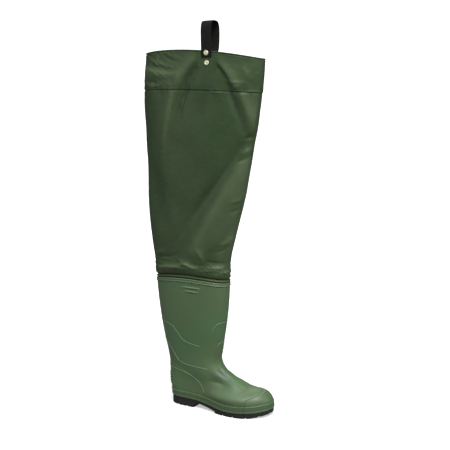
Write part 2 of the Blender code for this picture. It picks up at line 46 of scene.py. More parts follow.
sole = {
    "heelX": -36.0,
    "toeX": 249.0,
    # x, inner width, outer width, sideways shift
    "plan": np.array([
        (-36, 75.0, 75.0, 0.0), (-10, 61.0, 61.0, 0.0), (20, 46.2, 47.6, 0.0), (60, 36.1, 41.0, 0.0),
        (95, 34.7, 44.1, 0.0), (130, 43.7, 52.2, 0.0), (160, 54.9, 58.3, 0.0), (185, 64.0, 62.9, 1.0),
        (210, 73.5, 66.5, 3.0), (232, 84.0, 68.8, 5.0), (249, 85.0, 71.4, 6.0)]),
    "edge": np.array([(-36, 22.8), (50, 21.6), (105, 16.4), (150, 11.8), (200, 13.4), (249, 18.7)]),
    "under": np.array([(-36, 4.5), (45, 4.5), (58, 13.4), (75, 11.6), (100, 7.6), (117, 4.6),
                       (185, 4.5), (215, 6.0), (249, 13.0)]),
    "tread": np.array([(-37, 0.0), (185, 0.0), (205, 0.9), (228, 4.3), (250, 9.2)]),
    "heelLugs": ((-37, -6.0), (-1.5, 22.0), (26.5, 45.0)),
    "toeLugs": ((115.0, 138.8), (143.2, 166.8), (171.2, 199.8), (204.2, 228.8), (233.2, 250.0)),
    "channel": 3.0,
    # cuts across the sole: first, end and step, and the two ends of the slope behind the arch
    "cells": (-28.0, 246.0, 8.0),
    "slope": [52.0, 58.0],
    "edgePoints": 220,
    "insolePoints": 180,
    "bevel": 0.8,
    "bevelAngle": 40.0,
    "insoleInset": 5.4,
    # insole from its underside to its upper face: inset, height, share of the width
    "insole": ((0.9, 0.4, 0.5), (0.9, 0.4, 1), (0.2, 0.7, 1), (0, 1.6, 1), (0.1, 2.9, 1), (0.7, 3.9, 1),
               (1.8, 4.3, 1), (3, 4.2, 0.9), (3, 3.9, 0.75), (3, 3.8, 0.5), (3, 3.8, 0.2)),
}

boot = {
    # back x, back z, front x, front z, inner and outer half width, outline share, arch share
    "rings": np.array([
        (-36, 23.1, 248.6, 19, 50.6, 53.6, 1, 0), (-36.6, 30.5, 248.6, 27, 50.6, 53.6, 1, 0.5),
        (-37.4, 38.8, 247.6, 35, 50.2, 53.2, 1, 1), (-39.2, 47, 244.2, 43.5, 49.4, 52.3, 0.98, 0.9),
        (-41, 58, 237, 52.5, 47.2, 50, 0.90, 0.6), (-42, 71, 224, 60.5, 44.2, 46.8, 0.75, 0.3),
        (-42.8, 84, 206, 67.5, 41.8, 44.2, 0.55, 0.1), (-43.8, 96, 186, 75, 40.2, 42.5, 0.36, 0),
        (-45, 107, 166, 83.5, 39.3, 41.3, 0.20, 0), (-46.4, 118, 146.5, 94.5, 38.9, 40.6, 0.08, 0),
        (-48.2, 129, 128, 107.5, 39, 40.4, 0, 0), (-50.2, 141, 114.5, 122, 39.6, 40.8, 0, 0),
        (-53.6, 156, 109.4, 140, 40.6, 41.6, 0, 0), (-58, 175, 111.4, 164, 41.8, 42.6, 0, 0),
        (-63.2, 200, 116.6, 193, 43, 43.7, 0, 0), (-68.2, 228, 122, 224, 44.2, 44.8, 0, 0),
        (-72.6, 258, 126.4, 256, 45.3, 45.8, 0, 0), (-76.6, 288, 129.4, 287, 46.2, 46.6, 0, 0),
        (-79, 310, 131, 310, 46.8, 47.2, 0, 0), (-79.8, 328.5, 131.6, 328.5, 47, 47.4, 0, 0)]),
    "roundness": 2.3,
    # half widths of the sole that the lower rings follow, inner and outer
    "soleHalf": (50.9, 54.1),
    "wall": 2.3,
    "foxingOut": 2.0,
    "rimOut": 1.4,
    "rimHigh": 9.0,
    "stepOut": 1.035,
    # thin lines of the foxing band: middle as a share of its height, width, height
    "foxingLines": ((0.93, 0.045, 0.55), (0.16, 0.05, 0.5), (0.28, 0.05, -0.35), (1.06, 0.03, -0.5)),
    # thin lines of the rim: distance above its lower edge, width, height
    "rimLines": ((1.2, 1.0, 0.6), (3.4, 1.0, -0.4), (-1.4, 0.9, -0.5)),
    "heelRibs": {"low": 49.0, "first": 50.0, "high": 82.0, "pitch": 6.6, "out": 1.9},
    # slow unevenness of the skin: stretch of x, y and z, size, seed, height
    "drift": (((1, 1, 1), 90.0, 5, 0.25), ((1, 1, 1), 34.0, 6, 0.07)),
    "archLift": 17.0,
    "archFrom": 52.0,
    "archTo": 116.0,
    # lift of the top at the inner and the outer side
    "topLift": (1.0, 10.5),
    "capX": 228.0,
    "capBend": 0.0165,
    "capOuterX": 200.5,
    "counter": (-36.0, 34.0, 101.0, 72.0),
    "columns": 300,
    "innerColumns": 100,
    "innerRows": 60,
    # distance below the top in which the ring lines are closest
    "rimReach": 13.0,
    # raised lines: step between their points, points over which an end fades
    "beadStep": 1.2,
    "beadFade": 9,
}

# Broad forms of the boot's sides: centre x and z, half widths, height (negative for a hollow).
bootForms = ((162, 66, 42, 16, -4.6), (150, 44, 46, 10, 3.8),
             (-4, 70, 34, 30, 1.8), (20, 150, 50, 34, -1.6), (10, 240, 60, 60, 0.8))
# The same along the top of the instep, where the shaft turns into the vamp.
crestForms = ((117, 119, 20, 21, -8.4), (146, 96, 30, 24, -6.0), (188, 73, 28, 22, -7.8),
              (228, 54, 16, 14, 1.0))
# The pinch beside the ankle: its reach to each side, the softness of its bottom, its depth.
ankle = {"x": 126.0, "z": 78.0, "right": 26.0, "left": 34.0, "above": 30.0, "below": 11.0, "soft": 5.0,
         "deep": -10.0}

# Thin raised lines moulded into the boot: turn in degrees, height, then width and height of the bead.
bootLines = {
    "calfWing": ([(180, 220), (204, 219.5), (224, 217), (240, 213.5), (250, 203), (258, 188), (265, 176),
                  (274, 171), (288, 167), (304, 163)], 2.4, 0.8),
    "ankleWing": ([(180, 176), (200, 171), (214, 164), (226, 154), (236, 136), (244, 117), (254, 112),
                   (276, 110), (304, 107)], 2.4, 0.8),
    "shinArcHigh": ([(322, 200), (325, 213), (332, 223), (344, 227), (360, 227)], 2.2, 0.7),
    "shinArcLow": ([(338, 158), (342, 166), (349, 172), (360, 173)], 2.2, 0.7),
    "counterArc": ([(180, 98), (200, 97), (217, 95.5), (232, 94), (245, 90), (254, 83), (259, 72),
                    (261, 58), (260, 39)], 2.4, 0.9),
    "ribHigh": ([(265, 317.6), (277, 317.0), (289, 316.2), (301, 315.4)], 4.4, 2.4),
    "ribLow": ([(268, 307.2), (278, 306.7), (288, 305.9), (297, 305.2)], 4.4, 2.4),
}

leg = {
    # back x, back z, front x, front z, inner and outer half width
    "rings": np.array([
        (-83, 352, 133.4, 350, 48.6, 49), (-85, 372, 135, 369, 49, 49.2),
        (-89, 402, 139, 397, 49.2, 49.6), (-96, 446, 149.6, 438, 49.6, 50.4),
        (-99.4, 500, 163.4, 489, 50, 51.2), (-100.4, 556, 179, 542, 50.6, 52),
        (-101.4, 612, 188.6, 595, 51.2, 52.6), (-103.6, 668, 202, 648, 51.8, 53.2),
        (-107.2, 724, 213.6, 700, 52.4, 53.6), (-109.6, 774, 222.6, 752, 52.8, 54),
        (-107.4, 813.5, 229.6, 799, 53, 54.2), (-104, 856, 235.2, 838, 53.2, 54.4),
        (-99, 903, 237.4, 877, 53.4, 54.6)]),
    "roundness": 2.2,
    "wall": 1.0,
    "hemRow": 10.0,
    "hemOut": 0.9,
    "collarLift": (-6.0, 12.5),
    "bandHigh": 8.5,
    "columns": 240,
    "innerColumns": 80,
    "innerRows": 110,
    # ring lines of the cloth: from, to, count; closest at the hem step and the collar
    "rowSteps": ((0.0, 12.0, 300), (11.7, 12.0, 34), (9.86, 10.12, 26)),
    "flat": (0.745, 0.625),
    # metres of cloth round the tube, for the weave
    "clothGirth": 0.70,
    # waves of the cloth: stretch of x, y and z, size, seed, height
    "slack": (((1, 1, 1), 150.0, 11, 1.5), ((1, 1, 0.6), 52.0, 12, 0.55), ((1, 1, 1), 20.0, 13, 0.14)),
    "gather": (((0.35, 0.35, 1.6), 22.0, 14, 1.1), ((1, 1, 1), 12.0, 15, 0.6)),
    "pucker": (((1, 1, 0.25), 15.0, 16, 0.42), ((1, 1, 0.3), 34.0, 17, 0.7)),
}

# Folds of the fabric. Each has a side (-1 outer, 1 inner), points as x and z, the widths of its two
# flanks (right and left of the way it runs) and its heights at start, middle and end.
legFolds = [
    # tension ridges that fan out below the hanging loop
    (-1, [(88, 892), (64, 868), (42, 846), (16, 808), (-2, 756), (-18, 694), (-30, 630)],
     (9, 24), (4, 8, 1)),
    (-1, [(97, 884), (87, 868), (67, 848), (50, 826), (40, 804)], (6, 7), (-3, -5, -1)),
    (-1, [(124, 888), (134, 868), (150, 850), (162, 832)], (6, 5), (-2.4, -4.6, -1.6)),
    (-1, [(130, 886), (144, 866), (164, 842), (186, 806)], (20, 7), (2.6, 6.4, 4.4)),
    (-1, [(192, 800), (203, 764), (211, 728), (216, 692)], (18, 9), (4.6, 6.4, 2.4)),
    (-1, [(110, 862), (106, 820), (98, 768), (92, 700)], (16, 16), (0, -2.4, 0)),
    (-1, [(92, 866), (70, 838), (46, 802), (26, 744), (10, 690)], (9, 7), (-1.6, -4.6, 0)),
    (-1, [(140, 862), (160, 830), (176, 784), (190, 736), (200, 698)], (8, 13), (-1.6, -5.8, -1.6)),
    # short dents of the hem band beside them
    (-1, [(-98, 866), (-62, 857), (-26, 851), (10, 846), (40, 850)], (7, 26), (2.6, 8, 2.4)),
    (-1, [(-84, 890), (-50, 880), (-14, 870), (16, 862)], (5, 8), (0.8, 2.4, 0.6)),
    (-1, [(-72, 876), (-42, 868), (-10, 858)], (4, 5), (-0.4, -2, -0.4)),
    (-1, [(-30, 898), (-8, 888), (18, 880), (38, 876)], (5, 7), (0.6, -2, -0.4)),
    (-1, [(-90, 842), (-62, 832), (-34, 828)], (5, 6), (0.4, -2.4, -0.4)),
    (-1, [(-84, 826), (-56, 820), (-24, 822)], (4, 4), (0.6, 1.8, 0.2)),
    (-1, [(150, 832), (172, 824), (200, 822)], (4, 6), (0.6, 1.8, 0.6)),
    (-1, [(196, 866), (206, 846), (216, 824)], (9, 9), (0.4, 2, 0.6)),
    (-1, [(112, 806), (136, 800), (158, 802)], (3, 4.5), (0.6, 2, 0.4)),
    # the sharp front fold above the pinch, and the pinch
    (-1, [(230, 806), (225, 770), (219, 734), (212, 700)], (14, 10), (1.5, 2.5, 1)),
    (-1, [(222, 700), (206, 692), (190, 690)], (4, 7), (-3, -3.2, 0)),
    # the long diagonal turn from the front edge down to the joint
    (-1, [(214, 668), (186, 610), (156, 556), (122, 500), (86, 442), (44, 394)], (34, 20), (6, 11.5, 4)),
    (-1, [(206, 692), (174, 648), (130, 588), (78, 524), (28, 458), (-6, 414)], (9, 20), (-3.4, -5, -1)),
    (-1, [(172, 500), (150, 468), (124, 424), (98, 396)], (10, 10), (-0.6, -2.6, -0.4)),
    (-1, [(-70, 690), (-50, 600), (-34, 500), (-30, 430)], (36, 30), (0, -2.2, 0)),
    (-1, [(-92, 640), (-84, 540), (-72, 440)], (16, 18), (0, 2.2, 0.2)),
    # short puckers on the front edge
    (-1, [(216, 674), (198, 660), (180, 648)], (5, 5), (3.4, 2.6, 0)),
    (-1, [(206, 652), (190, 640), (172, 630)], (4, 5), (-2.2, -2.2, 0)),
    (-1, [(186, 556), (172, 541), (150, 534)], (4, 6), (2.8, 2.2, 0)),
    (-1, [(178, 526), (162, 514), (146, 508)], (4, 5), (-1.8, -1.8, 0)),
    (-1, [(152, 444), (136, 431), (116, 426)], (5, 7), (2, 2, 0)),
    (-1, [(146, 424), (128, 412), (106, 408)], (4, 6), (-1.2, -1.6, 0)),
    # gathers above the joint
    (-1, [(-58, 361), (-34, 365), (-6, 369), (20, 374), (44, 378)], (5, 11), (2.4, 7, 4)),
    (-1, [(12, 386), (34, 377), (56, 369), (82, 362)], (7, 5), (1.6, 4.2, 1)),
    (-1, [(-74, 384), (-40, 388), (-8, 393), (16, 402)], (8, 5), (-0.6, -2.2, -0.4)),
    (-1, [(64, 424), (78, 402), (86, 380)], (7, 7), (0, 3.8, 1.4)),
    (-1, [(76, 384), (96, 385), (118, 383), (136, 381)], (5, 6), (-0.8, -2.2, -1)),
    (-1, [(84, 367), (104, 369), (132, 368)], (5, 9), (1, 4, 2.4)),
    (-1, [(-82, 392), (-54, 398), (-20, 412)], (6, 9), (0.4, 2.2, 0)),
    # the inner side
    (1, [(150, 860), (120, 790), (70, 700), (30, 620)], (22, 28), (1, 4.6, 0.6)),
    (1, [(40, 850), (10, 760), (-30, 660), (-60, 580)], (20, 26), (-0.6, -4.2, -0.4)),
    (1, [(200, 760), (160, 660), (110, 560), (40, 470)], (22, 26), (0.6, -4.4, -0.6)),
    (1, [(150, 560), (80, 500), (0, 450), (-60, 410)], (18, 24), (0.8, 5.6, 0.8)),
    (1, [(110, 450), (60, 412), (10, 388)], (9, 12), (0.4, -3, -0.4)),
    (1, [(120, 384), (80, 376), (30, 374), (-20, 378)], (4, 8), (0.4, 2.6, 0.6)),
    (1, [(-70, 380), (-40, 370), (0, 366)], (3, 6), (-0.4, -1.8, -0.4)),
    (1, [(-60, 838), (-20, 828), (30, 832)], (5, 8), (0.4, 1.8, 0.4)),
    (1, [(120, 822), (160, 830), (190, 828)], (4, 8), (0.4, 2, 0.4)),
]

strap = {
    "x": 111.0,
    "row": 11.6,
    # where the cloth lies flat under it: from this height over this rise, half width and its soft edge
    "flat": (846, 18, 34, 14),
    "wide": 28.0,
    "thick": 1.7,
    "upperZ": 894.0,
    "lowerZ": 870.8,
    # inwards from the fabric's outer face, height above the upper rivet
    "path": np.array([
        (-1.15, -10.4), (-1.15, 0.0), (-1.15, 9.0), (-1.5, 22.0), (-1.6, 38.0), (-1.3, 55.0), (1.0, 67.0),
        (7.4, 74.6), (20.0, 76.4), (33.0, 75.0), (39.8, 68.0), (42.4, 57.0), (42.2, 42.0), (41.0, 28.0),
        (39.0, 15.0), (35.4, 6.0), (27.6, -2.5), (17.0, -9.0), (7.8, -12.8), (3.7, -15.2), (3.15, -17.6),
        (3.15, -23.0), (3.15, -28.0), (3.15, -34.0)]),
    "samples": 260,
    "profilePoints": 32,
    "soft": 1.6,
}

bootLast, legLast = len(boot["rings"]) - 1.0, len(leg["rings"]) - 1.0
topStep = boot["rings"][-1, 1] - boot["rings"][-2, 1]


def smooth(value):
    # Eases from 0 to 1 as 3v^2 - 2v^3 and is flat outside.
    value = np.clip(value, 0.0, 1.0)
    return value * value * (3 - 2 * value)


def bell(value, centre, width):
    # exp(-((value - centre) / width)^2).
    return np.exp(-((value - centre) / width) ** 2)


def unit(vectors):
    # Vectors divided by their lengths.
    return vectors / np.linalg.norm(vectors, axis=-1, keepdims=True)


def runLength(line):
    # Length along a line of points, from 0 at the first.
    return np.concatenate([[0], np.cumsum(np.linalg.norm(np.diff(line, axis=0), axis=-1))])


def matched(row, turn):
    # Row and turn as arrays of one shape.
    return np.broadcast_arrays(np.asarray(row, float), np.asarray(turn, float))


def fullTurn(count):
    # Equal steps around, without the closing one.
    return np.linspace(0, 2 * np.pi, count, endpoint=False)


def softTable(table, blur, count=3000):
    # Cubic with limited slopes through the rows, then a bell-shaped running mean of width blur.
    x, y = table[:, 0], table[:, 1:]
    step = np.diff(x)[:, None]
    rise = np.diff(y, axis=0) / step
    slope = np.zeros_like(y)
    same = rise[:-1] * rise[1:] > 0
    slope[1:-1] = np.where(same, 2 * rise[:-1] * rise[1:] / np.where(same, rise[:-1] + rise[1:], 1.0), 0.0)
    slope[0], slope[-1] = rise[0], rise[-1]
    at = np.linspace(x[0], x[-1], count)
    cell = np.clip(np.searchsorted(x, at, side="right") - 1, 0, len(x) - 2)
    s = ((at - x[cell]) / step[cell, 0])[:, None]
    value = y[cell] * (1 + 2 * s) * (1 - s) ** 2 + y[cell + 1] * s ** 2 * (3 - 2 * s)
    value = value + step[cell] * (slope[cell] * s * (1 - s) ** 2 - slope[cell + 1] * s ** 2 * (1 - s))
    reach = int(3 * blur / (at[1] - at[0]))
    kernel = np.exp(-0.5 * (np.arange(-reach, reach + 1) * (at[1] - at[0]) / blur) ** 2)
    kernel = kernel / kernel.sum()
    full = np.concatenate([2 * value[0] - value[reach:0:-1], value, 2 * value[-1] - value[-2:-reach - 2:-1]])
    value = np.stack([np.convolve(full[:, k], kernel, "valid") for k in range(y.shape[1])], -1)

    def read(where):
        return np.stack([np.interp(where, at, value[:, k]) for k in range(y.shape[1])], -1)
    return read


def softLine(line, blur, count):
    # Smooth points at equal distances along a line of points.
    far = runLength(line)
    return softTable(np.column_stack([far, line]), blur)(np.linspace(0, far[-1], count))


def rowTable(rows, blur=0.35):
    # A smooth table over the numbers of its rows.
    return softTable(np.column_stack([np.arange(len(rows)), rows]), blur)


planAt, edgeAt = softTable(sole["plan"], 6.0), softTable(sole["edge"], 6.0)
bootRing, legRing = rowTable(boot["rings"]), rowTable(leg["rings"])


def waves(point, size, seed, count=16):
    # Sum of sines with random directions and lengths near the given size, between about -1 and 1.
    rng = np.random.default_rng(seed)
    direction = rng.normal(size=(count, 3))
    direction /= np.linalg.norm(direction, axis=1, keepdims=True)
    direction *= (2 * np.pi / size * rng.uniform(0.7, 1.5, count))[:, None]
    phase = rng.uniform(0, 2 * np.pi, count)
    total = sum(np.sin(point @ d + p) for d, p in zip(direction, phase))
    return total / math.sqrt(count) * 0.8


def waveSum(point, table):
    # Waves of several sizes, each times its height.
    return sum(high * waves(point * stretch, size, seed) for stretch, size, seed, high in table)


def bySide(turn, inner, outer):
    # The first value on the inner side, the second on the outer side.
    return np.where(np.sin(turn) > 0, inner, outer)


def soleOutline(turn, inset=0.0):
    # Plan of the sole: turn 0 is the toe, a quarter turn the inner side.
    middle, half = (sole["toeX"] + sole["heelX"]) / 2, (sole["toeX"] - sole["heelX"]) / 2
    x = middle + half * np.cos(turn)
    plan = planAt(x)
    y = plan[..., 2] + bySide(turn, plan[..., 0], plan[..., 1]) * np.sin(turn)
    if inset:
        along = unit(np.stack(soleOutline(turn + 1e-3), -1) - np.stack(soleOutline(turn - 1e-3), -1))
        x, y = x - inset * along[..., 1], y + inset * along[..., 0]
    return x, y


def roundSide(turn, power):
    # Rounded-oblong width: (1 - |cos|^n)^(1/n) with the sign of the side.
    return np.sign(np.sin(turn)) * (1 - np.abs(np.cos(turn)) ** power) ** (1 / power)


def sideLift(turn, inner, outer):
    # Lift of a rim at its two sides, none at its front and back.
    return bySide(turn, inner, outer) * np.sin(turn) ** 2


def bootSurface(row, turn):
    # Each ring runs from its back point to its front point; its width blends the sole's
    # outline into a rounded oblong as the rings climb.
    row, turn = matched(row, turn)
    backX, backZ, frontX, frontZ, inner, outer, share, scallop = np.moveaxis(bootRing(row), -1, 0)
    along = (1 + np.cos(turn)) / 2
    x = backX + (frontX - backX) * along
    planX, planY = soleOutline(turn)
    foot = planY / bySide(turn, *boot["soleHalf"])
    wide = share * foot + (1 - share) * roundSide(turn, boot["roundness"])
    y = bySide(turn, inner, outer) * wide
    y = y + planAt(planX)[..., 2] * (1 - share) * smooth(1 - row / 9.0)
    dip = edgeAt(planX)[..., 0] - edgeAt(sole["heelX"])[0] * (1 - along) - edgeAt(sole["toeX"])[0] * along
    z = backZ + (frontZ - backZ) * along + dip * share
    arch = np.clip((x - boot["archFrom"]) / (boot["archTo"] - boot["archFrom"]), 0, 1)
    z = z + boot["archLift"] * np.sin(np.pi * arch) ** 2 * smooth(np.sin(turn) * 3) * scallop
    z = z + sideLift(turn, *boot["topLift"]) * smooth((row - bootLast + 4) / 4)
    return np.stack([x, y, z], -1)


def legSurface(row, turn):
    # Rounded-oblong rings that lean forward and tilt as they climb to the collar.
    row, turn = matched(row, turn)
    backX, backZ, frontX, frontZ, inner, outer = np.moveaxis(legRing(row), -1, 0)
    along = (1 + np.cos(turn)) / 2
    x = backX + (frontX - backX) * along
    y = bySide(turn, inner, outer) * roundSide(turn, leg["roundness"])
    z = backZ + (frontZ - backZ) * along
    z = z + sideLift(turn, *leg["collarLift"]) * smooth((row - legLast + 3) / 3)
    z = z + sideLift(turn, *boot["topLift"]) * smooth(1 - row / 2)
    return np.stack([x, y, z], -1)


def surfaceNormals(surface, row, turn):
    # Outward directions: a small step around crossed with a small step up.
    row, turn = matched(row, turn)
    around = surface(row, turn + 2e-3) - surface(row, turn - 2e-3)
    up = surface(row + 2e-2, turn) - surface(row - 2e-2, turn)
    return unit(np.cross(around, up))


def bootRelief(point, row, turn):
    # Foxing band with its thin lines, toe cap and counter steps, heel ribs and top rim.
    x, y, z = np.moveaxis(point, -1, 0)
    foxing = row / 2.0
    out = boot["foxingOut"] * (1 - smooth((foxing - 0.985) / 0.05))
    for middle, width, high in boot["foxingLines"]:
        out = out + high * bell(foxing, middle, width)
    edge = boot["capX"] - boot["capBend"] * y ** 2
    edge = np.where(y < 0, np.maximum(edge, boot["capOuterX"]), edge)
    above = smooth((foxing - 1.0) / 0.04)
    out = out + above * (boot["stepOut"] * smooth((x - edge) / 2.4 + 0.5) - 0.35 * bell(x, edge - 1.0, 1.5))
    centreX, centreZ, halfX, halfZ = boot["counter"]
    reach = np.sqrt(((x - centreX) / halfX) ** 2 + ((z - centreZ) / halfZ) ** 2)
    out = out + above * 0.6 * smooth((1 - reach) * 22 + 0.5)
    rib = boot["heelRibs"]
    ribs = np.clip(np.sin((z - rib["first"]) / rib["pitch"] * 2 * np.pi), 0, 1)
    ribs = ribs * smooth((z - rib["low"]) / 4) * smooth((rib["high"] - z) / 4)
    out = out + rib["out"] * ribs * smooth((-np.cos(turn) - 0.79) / 0.06)
    down = (bootLast - row) * topStep
    out = out + boot["rimOut"] * smooth((boot["rimHigh"] - down) / 0.9 + 0.5)
    for over, width, high in boot["rimLines"]:
        out = out + high * bell(down, boot["rimHigh"] - over, width)
    out = out - 0.9 * smooth((1.2 - down) / 1.2)
    return out + waveSum(point, boot["drift"]) * smooth((foxing - 1.1) / 2) * smooth((down - 8) / 20)


def bellSum(table, x, z):
    # Broad forms added up: height times a bell along x times a bell along z.
    return sum(high * bell(x, centreX, wideX) * bell(z, centreZ, wideZ)
               for centreX, centreZ, wideX, wideZ, high in table)


def bootForm(point, turn):
    # Broad hollows and swellings shared by the outer and the inner skin.
    x, y, z = np.moveaxis(point, -1, 0)
    side = smooth(np.abs(np.sin(turn)) * 2.5 - 0.1)
    # The pinch falls as a bell along x and as exp(-(sqrt(t^2 + soft^2) - soft) / reach) along z.
    across = bell(x, ankle["x"], np.where(x > ankle["x"], ankle["right"], ankle["left"]))
    reach = np.where(z > ankle["z"], ankle["above"], ankle["below"])
    down = np.sqrt((z - ankle["z"]) ** 2 + ankle["soft"] ** 2) - ankle["soft"]
    total = bellSum(bootForms, x, z) + ankle["deep"] * across * np.exp(-down / reach)
    return total * side * (1 - 0.5 * bell(y, 3, 10)) + bellSum(crestForms, x, z) * bell(y, 2, 42)


def bootSkin(row, turn, out=None):
    # The boot's surface moved outwards by its form and its relief, or by a given distance instead of it.
    row, turn = matched(row, turn)
    point = bootSurface(row, turn)
    relief = bootRelief(point, row, turn) if out is None else np.broadcast_to(out, row.shape)
    return point + surfaceNormals(bootSurface, row, turn) * (relief + bootForm(point, turn))[..., None]


def bootTop(turn, out, above):
    # Ring at the boot's top, moved outwards and up or down.
    point = bootSkin(np.full_like(turn, bootLast + min(above, 0.0) / topStep), turn, out)
    point[..., 2] = bootSurface(np.full_like(turn, bootLast), turn)[..., 2] + above
    return point


def foldField(point, turn):
    # Each fold follows a smooth line; its height falls as (1 + (gap / width)^2)^-1.6, wider on one side.
    x, _, z = np.moveaxis(point, -1, 0)
    total = np.zeros_like(x)
    for side, line, (before, after), (first, middle, last) in legFolds:
        line = np.array(line, float)
        path = softLine(line, runLength(line)[-1] / 14, 26)
        near = max(before, after) * 2.6
        inside = (x > path[:, 0].min() - near) & (x < path[:, 0].max() + near)
        inside &= (z > path[:, 1].min() - near) & (z < path[:, 1].max() + near)
        inside &= side * np.sin(turn) > -0.3
        px, pz = x[inside], z[inside]
        best = np.full(px.shape, 1e9)
        signed, along = np.zeros_like(px), np.zeros_like(px)
        for k in range(len(path) - 1):
            stepX, stepZ = path[k + 1] - path[k]
            s = ((px - path[k, 0]) * stepX + (pz - path[k, 1]) * stepZ) / np.hypot(stepX, stepZ) ** 2
            s = np.clip(s, 0.0, 1.0)
            gapX, gapZ = px - path[k, 0] - s * stepX, pz - path[k, 1] - s * stepZ
            gap = np.hypot(gapX, gapZ)
            closer = gap < best
            best = np.where(closer, gap, best)
            signed = np.where(closer, gap * np.sign(gapX * stepZ - gapZ * stepX), signed)
            along = np.where(closer, (k + s) / (len(path) - 1), along)
        ends = smooth(along / 0.12 + 0.35) * smooth((1 - along) / 0.12 + 0.35)
        high = np.where(along < 0.5, first + (middle - first) * smooth(along * 2),
                        middle + (last - middle) * smooth(along * 2 - 1))
        shape = 1 / (1 + (signed / np.where(signed < 0, before, after)) ** 2) ** 1.6
        total[inside] += high * shape * ends * smooth(side * np.sin(turn[inside]) * 2.2 + 0.25)
    return total


def strapMask(point):
    # 0 under the hanging loop, where the cloth lies flat, 1 elsewhere.
    x, y, z = np.moveaxis(point, -1, 0)
    low, rise, half, edge = strap["flat"]
    return 1 - smooth((z - low) / rise) * smooth((half - np.abs(x - strap["x"])) / edge) * (y < 0)


def legRelief(point, row, turn):
    # Folds, slack, gathers over the joint, hem step with its puckers, and the collar's roll.
    x, hem = point[..., 0], leg["hemRow"]
    out = foldField(point, turn) + waveSum(point, leg["slack"])
    crease = waves(point * (1, 1, 2.2) + x[..., None] * (0, 0, 1.1), 30.0, 19) + 0.6 * waves(point, 11.0, 20)
    out = out + 0.8 * crease * bell(x, -36, 62) * smooth((row - hem - 0.1) / 0.4)
    out = out + bell(row, 0, 1.1) * waveSum(point, leg["gather"]) + 2.2 * bell(row, 0.25, 0.45)
    out = out + waveSum(point, leg["pucker"]) * bell(row, hem, 0.42) - 0.5 * bell(row, hem - 0.06, 0.05)
    out = out * strapMask(point) + leg["hemOut"] * smooth((row - hem) / 0.03 + 0.5)
    out = out + (0.2 + 0.3 * waves(point, 40.0, 18)) * bell(row, hem + 0.05, 0.03)
    out = out - (0.5 + 0.4 * waves(point, 28.0, 19)) * bell(row, hem - 0.035, 0.03)
    return out + 0.5 * bell(row, legLast - 0.01, 0.03) - 1.1 * bell(row, legLast - 0.068, 0.018)


print("shape functions ready")


def gridQuads(rows, columns, start=0, flip=False):
    # Quads between neighbouring rings, closed around.
    ring = np.arange(rows - 1)[:, None] * columns
    low, after = (ring + np.arange(columns)).ravel(), (ring + np.roll(np.arange(columns), -1)).ravel()
    quads = np.stack([low, after, after + columns, low + columns], -1) + start
    return quads[:, ::-1] if flip else quads


def ringBridge(big, small, flip=False):
    # One face for each step of the smaller ring, with the bigger ring's points between.
    ratio = len(big) // len(small)
    index = np.arange(len(small))
    chain = [big[(index * ratio + k) % len(big)] for k in range(ratio, -1, -1)]
    faces = np.stack([small, np.roll(small, -1)] + chain, -1)
    return faces[:, ::-1] if flip else faces


def buildMesh(name, points, *faceSets, turnOut=False):
    # A smooth mesh from points in millimetres and arrays of faces; turnOut makes all faces look outwards.
    mesh = bpy.data.meshes.new(name)
    corners = np.concatenate([f.ravel() for f in faceSets]).astype(np.int32)
    totals = np.concatenate([np.full(len(f), f.shape[1]) for f in faceSets]).astype(np.int32)
    starts = np.concatenate([[0], np.cumsum(totals)[:-1]]).astype(np.int32)
    mesh.vertices.add(len(points))
    mesh.vertices.foreach_set("co", (np.asarray(points) * mm).astype(np.float32).ravel())
    mesh.loops.add(len(corners))
    mesh.loops.foreach_set("vertex_index", corners)
    mesh.polygons.add(len(totals))
    mesh.polygons.foreach_set("loop_start", starts)
    mesh.update(calc_edges=True)
    mesh.polygons.foreach_set("use_smooth", np.full(len(totals), True))
    mesh.validate()
    if turnOut:
        work = bmesh.new()
        work.from_mesh(mesh)
        bmesh.ops.recalc_face_normals(work, faces=work.faces[:])
        work.to_mesh(mesh)
        work.free()
    return mesh


def addPiece(name, mesh, material, *nodes, slot=None):
    # An object at the origin that rides on the root, with its material and the nodes that it replaces. The
    # slot is not used.
    piece = bpy.data.objects.new(name, mesh)
    bpy.context.scene.collection.objects.link(piece)
    mesh.materials.append(material)
    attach(piece, "root")
    if nodes:
        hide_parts(*nodes)
    return piece


def addValues(mesh, name, values):
    # One number per point for the materials.
    data = mesh.attributes.new(name, "FLOAT", "POINT")
    data.data.foreach_set("value", np.asarray(values, np.float32).ravel())


def readNumbers(items, label):
    # One whole number of each item.
    numbers = np.empty(len(items), np.int32)
    items.foreach_get(label, numbers)
    return numbers


def closedWall(name, outer, inner):
    # A wall between an outer and a coarser inner grid, joined at both rims.
    rows, columns = outer.shape[:2]
    inRows, inColumns = inner.shape[:2]
    start = rows * columns
    points = np.concatenate([outer.reshape(-1, 3), inner.reshape(-1, 3)])
    lowOut, lowIn = np.arange(columns), np.arange(inColumns) + start
    highOut, highIn = lowOut + (rows - 1) * columns, lowIn + (inRows - 1) * inColumns
    return buildMesh(name, points, gridQuads(rows, columns), gridQuads(inRows, inColumns, start, True),
                     ringBridge(lowOut, lowIn, True), ringBridge(highOut, highIn))


def sweptLine(path, normal, profile):
    # A closed profile carried along a path: profile gives steps across and out of the surface.
    along = unit(np.gradient(path, axis=0))
    across = unit(np.cross(along, normal))
    return path[:, None] + across[:, None] * profile[..., :1] + normal[:, None] * profile[..., 1:]


def capTube(grid, start=0):
    # Faces of an open tube grid, ends closed by one face each.
    rows, columns = grid.shape[:2]
    first = np.arange(columns)[None, :] + start
    return gridQuads(rows, columns, start), first[:, ::-1], first + (rows - 1) * columns


def feed(tree, socket, value):
    # A socket is linked and a plain value is set; a colour of three numbers becomes opaque.
    if isinstance(value, bpy.types.NodeSocket):
        tree.links.new(value, socket)
    elif socket.type == "RGBA" and len(value) == 3:
        socket.default_value = (*value, 1.0)
    else:
        socket.default_value = value


